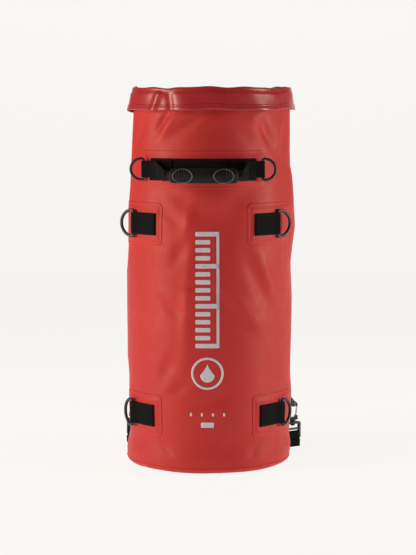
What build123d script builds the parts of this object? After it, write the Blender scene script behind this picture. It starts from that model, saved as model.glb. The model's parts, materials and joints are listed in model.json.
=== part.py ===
from build123d import *
import math
import os

# Roll-top dry bag with lash rings, a carry handle and clipped-on shoulder straps.
# Millimetres. The origin is the centre of the underside, +Z up, and the front, which has the
# handle, faces -Y. Angles round the bag are degrees from the front towards +X.
os.makedirs("parts", exist_ok=True)

# ---- driving dimensions ----------------------------------------------------
FABRIC = 1.2                 # welded tarpaulin
LAYER_GAP = 0.1              # between layers that are welded or sewn together
BASE_RADIUS = 149.0
BASE_CORNER = 12.0
BASE_FLANGE_TOP = 20.0
# radius and height up the outside of the body tube
TUBE_OUTLINE = [(147.7, 12.5), (147.7, 21.0), (145.8, 50.0), (148.5, 95.0),
                (149.0, 490.0), (141.0, 570.0), (140.2, 672.0)]
COLLAR_BOTTOM = 612.0
COLLAR_TOP = 681.0
HEM_BOTTOM = 639.0
HEM_TOP = 651.0
HEM_RADIUS = 147.4
HEM_THICKNESS = 3.2
COLLAR_INSET = 2.2           # the collar's inner leg stands this far inside the tube's outside
CUFF_FOLD = 3.6              # from the middle of the collar's inner leg to its outer one
HEM_LAP = 0.5                # the outer leg runs this far into the hem
STIFFENER_THICKNESS = 1.2
STIFFENER_HEIGHT = 9.5
STIFFENER_ARC = 160.0
STIFFENER_PLAY = 0.2         # room in the hem's pocket, over the stiffener's thickness
SEAM_TAPE_LOW = 23.0
SEAM_TAPE_HIGH = 560.0
SEAM_TAPE = 0.6
SEAM_TAPE_ARC = 10.0

WEBBING = 1.4                # thickness of a strap
LASH_WEBBING_WIDTH = 39.0
PATCH_HEIGHT = 75.0
PATCH_CORNER = 10.0
UPPER_TAB_Z = 440.0
LOWER_TAB_Z = 99.0
TAB_THICKNESS = 2.6
PATCH_OUTER = LAYER_GAP + FABRIC
TAB_INNER = PATCH_OUTER + LAYER_GAP

RING_WIRE = 2.8              # radius of a lash ring's wire
RING_HALF_HEIGHT = 23.2
RING_DEPTH = 26.4
SMALL_WIRE = 2.4
SMALL_HALF_HEIGHT = 18.3
SMALL_DEPTH = 22.6
RING_CORNER = 3.2
BAR_CLEARANCE = 0.3
LOOP_OVERLAP = 0.2           # a loop of webbing bites this far into its band

HANDLE_Z = 536.5
HANDLE_ANGLE = -1.8           # the handle is sewn on slightly to the left of the front
HANDLE_DROOP = 9.0           # the grip hangs this much below its sewn ends
GRIP_SHIFT = 7.0             # and sits this much to the right of the middle between them
GRIP_CENTRE_Y = -178.0
GRIP_BEND = 330.0            # radius that the grip is bent to
GRIP_ARC = 23.2
GRIP_HEIGHT = 25.0
GRIP_THICKNESS = 22.0
GRIP_SLOT_PLAY = 0.4         # room round the webbing inside the grip
STRIP_THICKNESS = 2.0        # the handle's own webbing, doubled
STRIP_WIDTH = 20.0
ARM_WIDTH = 24.0             # where an arm leaves its keeper
ARM_ROOT = (79.0, -135.0)
ARM_ROOT_DROP = 1.5
ARM_SKEW = 0.35              # how far an arm's ends are turned from level

REAR_ANGLE = 115.0           # where the shoulder straps clip on, each side
REAR_LEFT_TURN = -7.0        # the left one is further round the back
REAR_BAR_Z = 108.0
REAR_LIFT = 40.0             # the loaded ring stands out this far from hanging straight
HOOK_WIRE = 1.9
HOOK_BEND = 7.5
ADJUSTER_TURN = (0.81, 0.59, 0.0)   # the adjuster's bars point this way, on the right side
REAR_TAB_LENGTH = 42.0
REAR_PATCH_RISE = 20.0       # the rear patch's middle is this far above the ring's bar
REAR_PATCH_WIDTH = 78.0
REAR_PATCH_HEIGHT = 90.0
STRAP_WIDTH = 25.0
STRAP_RUN = 118.0            # from the adjuster to the foot of the shoulder pad
PAD_WIDTH = 60.0
PAD_THICKNESS = 9.0
PAD_SLANT = 6.1
PAD_TOP = (38.0, 148.0, 592.0)
PAD_LENGTH = 447.0
PAD_BOW = 44.0               # how far the pad's middle stands out behind its top
PAD_FOOT = 22.0              # and its foot
PAD_WEBBING_WIDTH = 38.0
HARNESS_PATCH_LOW = 566.0
HARNESS_PATCH_HIGH = 633.0
HARNESS_PATCH_ARC = 52.0

BUCKLE_ANGLE = 122.0
BUCKLE_BAR_Z = 610.0
BUCKLE_BAR = 2.0
BUCKLE_WIDTH = 34.0
BUCKLE_MIDDLE = 0.5          # the halves' middle plane, outwards from the bar
BUCKLE_SHELL = 11.0          # thickness of the female half
BUCKLE_STRAP = 25.0


# ---- helpers ---------------------------------------------------------------
def surface_radius(z):
    """Radius of the outside of the body tube at height z."""
    for (r0, z0), (r1, z1) in zip(TUBE_OUTLINE, TUBE_OUTLINE[1:]):
        if z <= z1:
            return r0 + (r1 - r0) * (z - z0) / (z1 - z0)
    return TUBE_OUTLINE[-1][0]


def turned(face, start=0.0, arc=360.0):
    """Turn a radius-height face about the bag's axis, from the angle start, through arc."""
    return Rot(0, 0, start - 90) * revolve(Plane.XZ * face, Axis.Z, arc)


def skin(z_low, z_high, inner, outer, start=0.0, arc=360.0):
    """A layer that follows the tube's outside, between two offsets from it."""
    heights = [z_low] + [z for _, z in TUBE_OUTLINE if z_low < z < z_high] + [z_high]
    outside = [(surface_radius(z) + outer, z) for z in heights]
    inside = [(surface_radius(z) + inner, z) for z in reversed(heights)]
    return turned(make_face(Polyline(*outside, *inside, close=True)), start, arc)


def around(angle, radius, z):
    """A point at an angle round the bag, a radius and a height."""
    a = math.radians(angle)
    return Vector(radius * math.sin(a), -radius * math.cos(a), z)


def seat(angle, z, radius):
    """A plane facing outwards: x runs round the bag, y up and z outwards."""
    return Plane(origin=around(angle, radius, z), x_dir=around(angle + 90, 1, 0),
                 z_dir=around(angle, 1, 0))


def window(angle, z, width, height, corner):
    """A rounded prism through the wall, to cut a patch out of a layer."""
    outline = RectangleRounded(width, height, corner)
    return seat(angle, z, surface_radius(z)) * extrude(outline, 25, both=True)


def patch(angle, z, width, height):
    half_arc = math.degrees(math.asin(width / 2 / BASE_RADIUS)) + 3
    layer = skin(z - height / 2 - 2, z + height / 2 + 2, LAYER_GAP, PATCH_OUTER,
                 angle - half_arc, 2 * half_arc)
    return layer & window(angle, z, width, height, PATCH_CORNER)


def both_sides(name, make, turn=0.0, left_turn=0.0):
    """Write a right-hand piece and its mirror image, turned about the bag's axis, the left one more."""
    right = make()
    write(name + "_right", Rot(0, 0, turn) * right)
    write(name + "_left", Rot(0, 0, turn + left_turn) * mirror(right, Plane.YZ))


def write(name, shape):
    export_step(shape, f"parts/{name}.step")


def d_ring(wire, half_height, depth):
    """A D of round wire in the XY plane, with its bar on the Y axis and its bow towards +X."""
    bar_end = half_height - RING_CORNER
    bow_start = depth - half_height
    near = RING_CORNER * (1 - math.sqrt(0.5))
    edges = [Line((0, -bar_end), (0, bar_end)),
             ThreePointArc((0, bar_end), (near, half_height - near), (RING_CORNER, half_height))]
    if bow_start > RING_CORNER + 0.01:
        edges.append(Line((RING_CORNER, half_height), (bow_start, half_height)))
    edges.append(ThreePointArc((bow_start, half_height), (depth, 0), (bow_start, -half_height)))
    if bow_start > RING_CORNER + 0.01:
        edges.append(Line((bow_start, -half_height), (RING_CORNER, -half_height)))
    edges.append(ThreePointArc((RING_CORNER, -half_height), (near, near - half_height),
                               (0, -bar_end)))
    section = Plane(origin=(0, -bar_end, 0), z_dir=(0, 1, 0)) * Circle(wire)
    return sweep(section, path=Wire(edges))


def tab(inner_angle, bar_angle, z, width, wire, first_layer, last_layer):
    """Webbing sewn down from one angle to another, with a loop round a ring's upright bar."""
    bore = wire + BAR_CLEARANCE
    loop = bore + WEBBING - LOOP_OVERLAP
    bar = seat(bar_angle, z, surface_radius(z) + first_layer + loop)
    band = skin(z - width / 2, z + width / 2, first_layer, last_layer, inner_angle,
                bar_angle - inner_angle)
    upright = bar * Rot(90, 0, 0)
    return band + upright * Cylinder(loop, width) - upright * Cylinder(bore, width + 2)


def bar_radius(z, wire, first_layer):
    """Distance of a ring's upright bar from the bag's axis."""
    return surface_radius(z) + first_layer + wire + BAR_CLEARANCE + WEBBING - LOOP_OVERLAP


# ---- the bag ---------------------------------------------------------------
def base_panel():
    """A dished disc, whose flange is welded round the foot of the tube."""
    flat = BASE_RADIUS - BASE_CORNER
    bend = BASE_CORNER * math.sqrt(0.5)
    inner_bend = (BASE_CORNER - FABRIC) * math.sqrt(0.5)
    inner_wall = BASE_RADIUS - FABRIC
    edges = [Line((0, 0), (flat, 0)),
             ThreePointArc((flat, 0), (flat + bend, BASE_CORNER - bend),
                           (BASE_RADIUS, BASE_CORNER)),
             Polyline((BASE_RADIUS, BASE_CORNER), (BASE_RADIUS, BASE_FLANGE_TOP),
                      (inner_wall, BASE_FLANGE_TOP), (inner_wall, BASE_CORNER)),
             ThreePointArc((inner_wall, BASE_CORNER), (flat + inner_bend, BASE_CORNER - inner_bend),
                           (flat, FABRIC)),
             Polyline((flat, FABRIC), (0, FABRIC), (0, 0))]
    return turned(make_face(edges))


def collar_cuff():
    """The mouth's collar, welded inside the tube and folded out over it, with its hem."""
    inside = TUBE_OUTLINE[-1][0] - COLLAR_INSET
    outside = inside + CUFF_FOLD
    crest = COLLAR_TOP - FABRIC / 2 - CUFF_FOLD / 2
    hem_middle = HEM_RADIUS - HEM_THICKNESS / 2
    hem_height = HEM_TOP - HEM_BOTTOM
    outer_foot = (hem_middle - FABRIC / 2, HEM_TOP - HEM_LAP)
    fold = ThreePointArc((inside, crest), ((inside + outside) / 2, COLLAR_TOP - FABRIC / 2),
                         (outside, crest))
    legs = [Line((inside, COLLAR_BOTTOM), (inside, crest)), fold, Line((outside, crest), outer_foot)]
    cuff = turned(trace(Wire(legs), FABRIC))
    hem = Pos(hem_middle, HEM_BOTTOM + hem_height / 2) * Rectangle(HEM_THICKNESS, hem_height)
    pocket = Pos(hem_middle, HEM_BOTTOM + hem_height / 2 - FABRIC - 0.3) * Rectangle(
        STIFFENER_THICKNESS + STIFFENER_PLAY, hem_height)
    return cuff + turned(hem) - turned(pocket)


def mouth_stiffener(middle):
    """A flat plastic strip inside the hem, which the mouth is rolled round."""
    low = HEM_BOTTOM + (HEM_TOP - HEM_BOTTOM - STIFFENER_HEIGHT - FABRIC - STIFFENER_PLAY) / 2
    section = Pos(HEM_RADIUS - HEM_THICKNESS / 2, low + STIFFENER_HEIGHT / 2) * Rectangle(
        STIFFENER_THICKNESS, STIFFENER_HEIGHT)
    return turned(section, middle - STIFFENER_ARC / 2, STIFFENER_ARC)


def make_bag():
    write("base_panel", base_panel())
    write("body_tube", skin(TUBE_OUTLINE[0][1], TUBE_OUTLINE[-1][1], -FABRIC, 0))
    write("back_seam_tape", skin(SEAM_TAPE_LOW, SEAM_TAPE_HIGH, LAYER_GAP, LAYER_GAP + SEAM_TAPE,
                                 180 - SEAM_TAPE_ARC / 2, SEAM_TAPE_ARC))
    write("collar_cuff", collar_cuff())
    write("front_mouth_stiffener", mouth_stiffener(0))
    write("rear_mouth_stiffener", mouth_stiffener(180))


# ---- lash rings, their webbing tabs and the patches under them -----------------
PATCH_CHORD = 2 * BASE_RADIUS * math.sin(math.radians(22.4))
# name, height, inner end of the webbing, the ring's bar, middle of the patch, and how far the
# row is turned to the right
LASH_ROWS = [("upper", UPPER_TAB_Z, 35.7, 56.0, 52.8, 0.2),
             ("lower", LOWER_TAB_Z, 39.5, 61.0, 55.3, 2.0)]
# how far each ring stands off the bag, in degrees
RING_LIFT = {"upper_left": 25.0, "upper_right": 18.0, "lower_left": 2.0, "lower_right": 4.0}


def lash_ring(z, bar_angle, lift):
    place = seat(bar_angle, z, bar_radius(z, RING_WIRE, TAB_INNER))
    return place * Rot(0, -lift, 0) * d_ring(RING_WIRE, RING_HALF_HEIGHT, RING_DEPTH)


def make_lash_points():
    for row, z, inner_angle, bar_angle, middle, turn in LASH_ROWS:
        both_sides(f"{row}_lash_patch", lambda: patch(middle, z, PATCH_CHORD, PATCH_HEIGHT), turn)
        both_sides(f"{row}_lash_webbing",
                   lambda: tab(inner_angle, bar_angle, z, LASH_WEBBING_WIDTH, RING_WIRE,
                               TAB_INNER, TAB_INNER + TAB_THICKNESS), turn)
        right = lash_ring(z, bar_angle, RING_LIFT[row + "_right"])
        left = mirror(lash_ring(z, bar_angle, RING_LIFT[row + "_left"]), Plane.YZ)
        write(f"{row}_lash_ring_right", Rot(0, 0, turn) * right)
        write(f"{row}_lash_ring_left", Rot(0, 0, turn) * left)


# ---- carry handle ------------------------------------------------------------
HANDLE_BASE_INNER = TAB_INNER
HANDLE_BASE_OUTER = HANDLE_BASE_INNER + WEBBING
HANDLE_BASE_ARC = 80.0
HANDLE_PATCH_ARC = 100.0
HANDLE_PATCH_HEIGHT = 66.0
KEEPER_INNER_ANGLE = 31.0
KEEPER_BAR_ANGLE = 44.0
KEEPER_WIDTH = 29.0
HANDLE_RING_LIFT = 45.0


def bent_bar(section, arc):
    """A section, given in the YZ plane at the grip's middle, bent round to the grip's curve."""
    centre_y = GRIP_CENTRE_Y + GRIP_BEND
    bent = revolve(section, Axis((0, centre_y, 0), (0, 0, 1)), arc)
    return Pos(0, centre_y, 0) * Rot(0, 0, -arc / 2) * Pos(0, -centre_y, 0) * bent


def grip_section(shape):
    middle = Plane(origin=(0, GRIP_CENTRE_Y, HANDLE_Z - HANDLE_DROOP), x_dir=(0, 1, 0),
                   z_dir=(1, 0, 0))
    return middle * shape


def handle_arm(shift):
    """Webbing from near the right sewn end to the grip's right end, narrowing on the way."""
    half = math.radians(GRIP_ARC / 2)
    grip_end = (GRIP_BEND * math.sin(half), GRIP_CENTRE_Y + GRIP_BEND * (1 - math.cos(half)))
    skewed = {"x_dir": (1, ARM_SKEW, 0), "z_dir": (-ARM_SKEW, 1, 0)}
    root = Plane(origin=(*ARM_ROOT, HANDLE_Z - ARM_ROOT_DROP), **skewed)
    tip = Plane(origin=(grip_end[0] + 1.2 + shift, grip_end[1] + 0.3, HANDLE_Z - HANDLE_DROOP),
                **skewed)
    return loft([root * Rectangle(STRIP_THICKNESS, ARM_WIDTH),
                 tip * Rectangle(STRIP_THICKNESS, STRIP_WIDTH)], ruled=True)


def make_handle():
    turn = Rot(0, 0, HANDLE_ANGLE)
    shifted = turn * Pos(GRIP_SHIFT, 0, 0)
    patch_chord = 2 * BASE_RADIUS * math.sin(math.radians(HANDLE_PATCH_ARC / 2))
    write("handle_patch", turn * patch(0, HANDLE_Z, patch_chord, HANDLE_PATCH_HEIGHT))
    base_webbing = skin(HANDLE_Z - LASH_WEBBING_WIDTH / 2, HANDLE_Z + LASH_WEBBING_WIDTH / 2,
                        HANDLE_BASE_INNER, HANDLE_BASE_OUTER, -HANDLE_BASE_ARC / 2, HANDLE_BASE_ARC)
    write("handle_base_webbing", turn * base_webbing)
    loop_first = HANDLE_BASE_OUTER + LAYER_GAP

    def keeper():
        return tab(KEEPER_INNER_ANGLE, KEEPER_BAR_ANGLE, HANDLE_Z, KEEPER_WIDTH, SMALL_WIRE,
                   loop_first, loop_first + WEBBING)

    def small_ring():
        place = seat(KEEPER_BAR_ANGLE, HANDLE_Z, bar_radius(HANDLE_Z, SMALL_WIRE, loop_first))
        return place * Rot(0, -HANDLE_RING_LIFT, 0) * d_ring(SMALL_WIRE, SMALL_HALF_HEIGHT,
                                                             SMALL_DEPTH)

    both_sides("handle_ring_keeper", keeper, HANDLE_ANGLE)
    both_sides("handle_ring", small_ring, HANDLE_ANGLE)
    strip = bent_bar(grip_section(Rectangle(STRIP_THICKNESS, STRIP_WIDTH)), GRIP_ARC + 0.4)
    right_arm = turn * handle_arm(GRIP_SHIFT)
    left_arm = turn * mirror(handle_arm(-GRIP_SHIFT), Plane.YZ)
    write("handle_webbing", Compound([shifted * strip, right_arm, left_arm]))
    grip = bent_bar(grip_section(Ellipse(GRIP_THICKNESS / 2, GRIP_HEIGHT / 2)), GRIP_ARC)
    slot = Rectangle(STRIP_THICKNESS + GRIP_SLOT_PLAY, STRIP_WIDTH + 1.5 * GRIP_SLOT_PLAY)
    write("handle_grip", shifted * (grip - bent_bar(grip_section(slot), GRIP_ARC + 2)))


# ---- shoulder straps and the snap hooks that clip them on --------------------
REAR_BAR_RADIUS = bar_radius(REAR_BAR_Z, RING_WIRE, TAB_INNER)
RING_APEX_RADIUS = REAR_BAR_RADIUS + RING_DEPTH * math.sin(math.radians(REAR_LIFT))
RING_APEX_Z = REAR_BAR_Z - RING_DEPTH * math.cos(math.radians(REAR_LIFT))
HOOK_ARC_CENTRE = (0.5, 25.5)
RING_IN_HOOK = (-0.3, 26.4)
STEM_RADIUS = RING_APEX_RADIUS - RING_IN_HOOK[0]
KNUCKLE_Z = RING_APEX_Z - RING_IN_HOOK[1]
GATE_PIVOT = (6.5, 5.5)
GATE_TIP = (8.0, 22.0)
GATE_ROD = 1.5
GATE_PIN = 0.8                # radius of the pin that the gate turns on
GATE_BARREL = 4.0
HOOK_FOOT = 3.0               # where the spine rises from the base
HOOK_BASE_LENGTH = 18.6
HOOK_BASE_HEIGHT = 5.0
HOOK_BASE_DEPTH = 6.4
LUG = (4.2, 4.6, 1.2)         # each ear that holds the gate's pin
STEM_BORE = 2.5
STEM = 2.45
STEM_LENGTH = 9.0
STEM_HEAD = 4.0
STEM_HEAD_HEIGHT = 2.4
STEM_HEAD_Y = -10.8           # middle of the stem's riveted head


def rear_tab():
    """Webbing that hangs down the patch, with its loop round a level bar."""
    bore = RING_WIRE + BAR_CLEARANCE
    loop = bore + WEBBING - LOOP_OVERLAP
    width = LASH_WEBBING_WIDTH
    half_arc = math.degrees(width / 2 / BASE_RADIUS)
    band = skin(REAR_BAR_Z, REAR_BAR_Z + REAR_TAB_LENGTH, TAB_INNER, TAB_INNER + TAB_THICKNESS,
                REAR_ANGLE - half_arc, 2 * half_arc)
    level = seat(REAR_ANGLE, REAR_BAR_Z, REAR_BAR_RADIUS) * Rot(0, 90, 0)
    return band + level * Cylinder(loop, width) - level * Cylinder(bore, width + 2)


def rear_ring():
    place = seat(REAR_ANGLE, REAR_BAR_Z, REAR_BAR_RADIUS)
    ring = Rot(0, 0, -90) * d_ring(RING_WIRE, RING_HALF_HEIGHT, RING_DEPTH)
    return place * Rot(-REAR_LIFT, 0, 0) * ring


def hook_place():
    """A plane at the hook's knuckle: x outwards from the bag, y up."""
    return seat(REAR_ANGLE, KNUCKLE_Z, STEM_RADIUS) * Rot(0, -90, 0)


def snap_hook():
    """A spine that bends over into a nose, on a base with a swivel stem under it."""
    cx, cy = HOOK_ARC_CENTRE
    spine = cx - HOOK_BEND
    nose = cx + HOOK_BEND
    path = Wire([Line((spine, HOOK_FOOT), (spine, cy)),
                 ThreePointArc((spine, cy), (cx, cy + HOOK_BEND), (nose, cy)),
                 Line((nose, cy), (nose, cy - 2))])
    rod = sweep(Plane(origin=(spine, HOOK_FOOT, 0), z_dir=(0, 1, 0)) * Circle(HOOK_WIRE), path=path)
    block = RectangleRounded(HOOK_BASE_LENGTH, HOOK_BASE_HEIGHT, 2)
    base = Pos(0, HOOK_FOOT / 2, 0) * extrude(block, HOOK_BASE_DEPTH / 2, both=True)
    stem_middle = STEM_HEAD_Y + STEM_HEAD_HEIGHT / 2 + STEM_LENGTH / 2 - 0.1
    stem = Pos(0, stem_middle, 0) * Rot(90, 0, 0) * Cylinder(STEM, STEM_LENGTH)
    head = Pos(0, STEM_HEAD_Y, 0) * Rot(90, 0, 0) * Cylinder(STEM_HEAD, STEM_HEAD_HEIGHT)
    px, py = GATE_PIVOT
    lug = Pos(px, py - 0.4, GATE_BARREL / 2 + 0.1 + LUG[2] / 2) * Box(*LUG)
    pin = Pos(px, py, 0) * Cylinder(GATE_PIN, GATE_BARREL + 0.2 + 2 * LUG[2])
    return hook_place() * (rod + base + stem + head + lug + mirror(lug, Plane.XY) + pin)


def snap_gate():
    """A sprung bar that turns on a pin through the base's lugs and closes under the nose."""
    dx = GATE_TIP[0] - GATE_PIVOT[0]
    dy = GATE_TIP[1] - GATE_PIVOT[1]
    start = Plane(origin=(*GATE_PIVOT, 0), z_dir=(dx, dy, 0))
    rod = extrude(start * Circle(GATE_ROD), math.hypot(dx, dy))
    barrel = Pos(*GATE_PIVOT, 0) * Cylinder(GATE_ROD, GATE_BARREL)
    bore = Pos(*GATE_PIVOT, 0) * Cylinder(GATE_PIN + 0.1, GATE_BARREL + 2)
    return hook_place() * (rod + barrel - bore)


def adjuster_place():
    """A plane at the knuckle: x along the adjuster's bars, y up, z forwards along the tail."""
    return Plane(origin=around(REAR_ANGLE, STEM_RADIUS, KNUCKLE_Z), x_dir=ADJUSTER_TURN,
                 z_dir=(ADJUSTER_TURN[1], -ADJUSTER_TURN[0], 0))


ADJUSTER_WIDTH = 33.0
ADJUSTER_LENGTH = 32.0
ADJUSTER_THICKNESS = 6.0
ADJUSTER_Y = -21.0            # middle of the frame, below the knuckle
ADJUSTER_SLOTS = [(-13.2, 7.6), (-23.0, 6.0), (-31.75, 5.5)]   # middle and height of each
ADJUSTER_SLOT_WIDTH = 25.6
ADJUSTER_COLLAR = 5.5
ADJUSTER_COLLAR_LENGTH = 7.8
ADJUSTER_COLLAR_Y = -5.3


def adjuster():
    """A ladder-lock frame with three slots, and a collar for the hook's stem on top."""
    plate = RectangleRounded(ADJUSTER_WIDTH, ADJUSTER_LENGTH, 4)
    frame = Pos(0, ADJUSTER_Y, 0) * extrude(plate, ADJUSTER_THICKNESS / 2, both=True)
    for middle, height in ADJUSTER_SLOTS:
        frame -= Pos(0, middle, 0) * Box(ADJUSTER_SLOT_WIDTH, height, ADJUSTER_THICKNESS + 4)
    upright = Pos(0, ADJUSTER_COLLAR_Y, 0) * Rot(90, 0, 0)
    collar = upright * Cylinder(ADJUSTER_COLLAR, ADJUSTER_COLLAR_LENGTH)
    bore = upright * Cylinder(STEM_BORE, ADJUSTER_COLLAR_LENGTH + 2.2)
    return adjuster_place() * (frame + collar - bore)


def adjuster_webbing():
    """The strap's end, up behind the adjuster, through its slot and down in front as a tail."""
    out = ADJUSTER_THICKNESS / 2 + WEBBING
    route = FilletPolyline((-out, -40), (-out, -23.5), (out, -23.5), (out, -52), radius=1.5)
    turn = trace(route, WEBBING)
    section_plane = Plane(origin=(0, 0, 0), x_dir=(0, 0, 1), z_dir=(-1, 0, 0))
    return adjuster_place() * extrude(section_plane * turn, STRAP_WIDTH / 2, both=True)


def strap_webbing():
    """The slack strap: down behind the adjuster, round, and up to the foot of the pad."""
    start = (ADJUSTER_THICKNESS / 2 + WEBBING, -40.2)
    route = FilletPolyline(start, (6, -50.5), (36, -49), (86, -8), (STRAP_RUN, 82), radius=[5, 28, 60])
    strip = trace(route, WEBBING)
    section_plane = Plane(origin=(0, 0, 0), x_dir=(0, 0, -1), z_dir=(1, 0, 0))
    return adjuster_place() * extrude(section_plane * strip, STRAP_WIDTH / 2, both=True)


def shoulder_pad():
    """A flat pad that bows away from the back."""
    x, y, z = PAD_TOP
    bow = ThreePointArc((y, 0), (y + PAD_BOW, -217), (y + PAD_FOOT, -PAD_LENGTH))
    layer = trace(bow, PAD_THICKNESS)
    side = Plane(origin=(0, 0, 0), x_dir=(0, 1, 0), z_dir=(1, 0, 0))
    pad = extrude(side * layer, PAD_WIDTH / 2, both=True)
    return Pos(x, 0, z) * Rot(0, -PAD_SLANT, 0) * pad


def pad_top_webbing():
    x, y, z = PAD_TOP
    route = Polyline((y, z + 4), (y - 1.5, z + 13), (y - 4.9, z + 25), (y - 5.1, z + 40))
    side = Plane(origin=(x, 0, 0), x_dir=(0, 1, 0), z_dir=(1, 0, 0))
    return extrude(side * trace(route, WEBBING), PAD_WEBBING_WIDTH / 2, both=True)


def make_shoulder_straps():
    write("harness_patch", skin(HARNESS_PATCH_LOW, HARNESS_PATCH_HIGH, LAYER_GAP, PATCH_OUTER,
                                180 - HARNESS_PATCH_ARC / 2, HARNESS_PATCH_ARC))
    both_sides("rear_patch", lambda: patch(REAR_ANGLE, REAR_BAR_Z + REAR_PATCH_RISE,
                                           REAR_PATCH_WIDTH, REAR_PATCH_HEIGHT),
               left_turn=REAR_LEFT_TURN)
    clipped_on = {"rear_ring_webbing": rear_tab, "rear_ring": rear_ring, "snap_hook": snap_hook,
                  "snap_gate": snap_gate, "strap_adjuster": adjuster,
                  "adjuster_webbing": adjuster_webbing, "strap_webbing": strap_webbing}
    for name, make in clipped_on.items():
        both_sides(name, make, left_turn=REAR_LEFT_TURN)
    both_sides("shoulder_pad", shoulder_pad)
    both_sides("pad_top_webbing", pad_top_webbing)


# ---- roll-top buckle ---------------------------------------------------------
BUCKLE_TAB_INNER = HEM_RADIUS + LAYER_GAP
BUCKLE_LOOP = BUCKLE_BAR + BAR_CLEARANCE + WEBBING - 0.1
BUCKLE_BAR_RADIUS = BUCKLE_TAB_INNER + BUCKLE_LOOP
TAB_RISE = 40.0              # from the bar up to the end of the webbing on the hem
# sizes of the moulded halves' features, and where their middles are, from the middle of the bar
CHEEK = (3.6, 15.0, 7.0)
CHEEK_MIDDLE = (BUCKLE_WIDTH / 2 - CHEEK[0] / 2, -4.5, 0.3)
SOCKET_LENGTH = 38.0
SOCKET_MIDDLE = (0.0, -26.0, BUCKLE_MIDDLE)
SOCKET_HOLE = (27.5, 32.0, 7.0)
SOCKET_HOLE_MIDDLE = (0.0, -31.0, BUCKLE_MIDDLE)
SIDE_WINDOW = (BUCKLE_WIDTH + 4, 12.0, 6.0)
SIDE_WINDOW_MIDDLE = (0.0, -24.0, BUCKLE_MIDDLE)
PLUG_LENGTH = 10.0
PLUG_THICKNESS = 9.0
PLUG_MIDDLE = (0.0, -13.0, BUCKLE_MIDDLE)
TONGUE = (6.0, 26.0, 4.0)
TONGUE_MIDDLE = (0.0, -30.0, BUCKLE_MIDDLE)
PRONG = (3.2, 26.0, 5.0)
PRONG_MIDDLE = (10.5, -31.3, BUCKLE_MIDDLE)
BARB = (5.5, 10.0, 5.0)
BARB_MIDDLE = (12.6, -36.0, BUCKLE_MIDDLE)
SOFT_EDGE = 1.2              # rounding of the moulded halves' outer edges


def buckle_place(angle):
    """A plane at the middle of the buckle's bar: x along the bar, y up, z outwards."""
    return seat(angle, BUCKLE_BAR_Z, BUCKLE_BAR_RADIUS)


def buckle_webbing(angle):
    """Webbing sewn to the hem, which hangs down to a loop round the buckle's bar."""
    band = Pos(0, TAB_RISE / 2, BUCKLE_TAB_INNER - BUCKLE_BAR_RADIUS + WEBBING / 2) * Box(
        BUCKLE_STRAP, TAB_RISE, WEBBING)
    loop = Rot(0, 90, 0) * Cylinder(BUCKLE_LOOP, BUCKLE_STRAP)
    bore = Rot(0, 90, 0) * Cylinder(BUCKLE_BAR + BAR_CLEARANCE, BUCKLE_STRAP + 5)
    return buckle_place(angle) * (band + loop - bore)


def moulded(length, thickness, corner):
    """A flat block as wide as the buckle, with its front and back edges rounded off."""
    block = extrude(RectangleRounded(BUCKLE_WIDTH, length, corner), thickness / 2, both=True)
    flats = block.faces().filter_by(Axis.Z)
    return fillet(flats.edges(), SOFT_EDGE)


def buckle_cheeks():
    """The bar and the two side plates that both halves have."""
    bar = Rot(0, 90, 0) * Cylinder(BUCKLE_BAR, BUCKLE_WIDTH - 4)
    cheek = Pos(*CHEEK_MIDDLE) * fillet(Box(*CHEEK).edges(), SOFT_EDGE)
    return bar + cheek + mirror(cheek, Plane.YZ)


def buckle_socket(angle):
    """The female half: a flat shell with a socket from below and a window each side."""
    shell = Pos(*SOCKET_MIDDLE) * moulded(SOCKET_LENGTH, BUCKLE_SHELL, 4)
    socket = Pos(*SOCKET_HOLE_MIDDLE) * Box(*SOCKET_HOLE)
    side_window = Pos(*SIDE_WINDOW_MIDDLE) * Box(*SIDE_WINDOW)
    return buckle_place(angle) * (shell + buckle_cheeks() - socket - side_window)


def buckle_plug(angle):
    """The male half's body: a crossbar with a middle tongue."""
    body = Pos(*PLUG_MIDDLE) * moulded(PLUG_LENGTH, PLUG_THICKNESS, 3)
    tongue = Pos(*TONGUE_MIDDLE) * Box(*TONGUE)
    return buckle_place(angle) * (body + buckle_cheeks() + tongue)


def buckle_prong(angle, side):
    """A springy side arm of the male half, with a barbed shoulder at its end."""
    right = Pos(*PRONG_MIDDLE) * Box(*PRONG) + Pos(*BARB_MIDDLE) * Box(*BARB)
    return buckle_place(angle) * (right if side > 0 else mirror(right, Plane.YZ))


def make_buckle():
    write("buckle_webbing_right", buckle_webbing(BUCKLE_ANGLE))
    write("buckle_webbing_left", buckle_webbing(-BUCKLE_ANGLE))
    write("buckle_socket", buckle_socket(BUCKLE_ANGLE))
    write("buckle_plug", buckle_plug(-BUCKLE_ANGLE))
    write("buckle_prong_front", buckle_prong(-BUCKLE_ANGLE, 1))
    write("buckle_prong_rear", buckle_prong(-BUCKLE_ANGLE, -1))


make_bag()
make_lash_points()
make_handle()
make_shoulder_straps()
make_buckle()
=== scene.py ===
"""A roll-top dry bag, standing open with its collar turned down, on a pale studio floor."""
import json
import math

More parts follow.
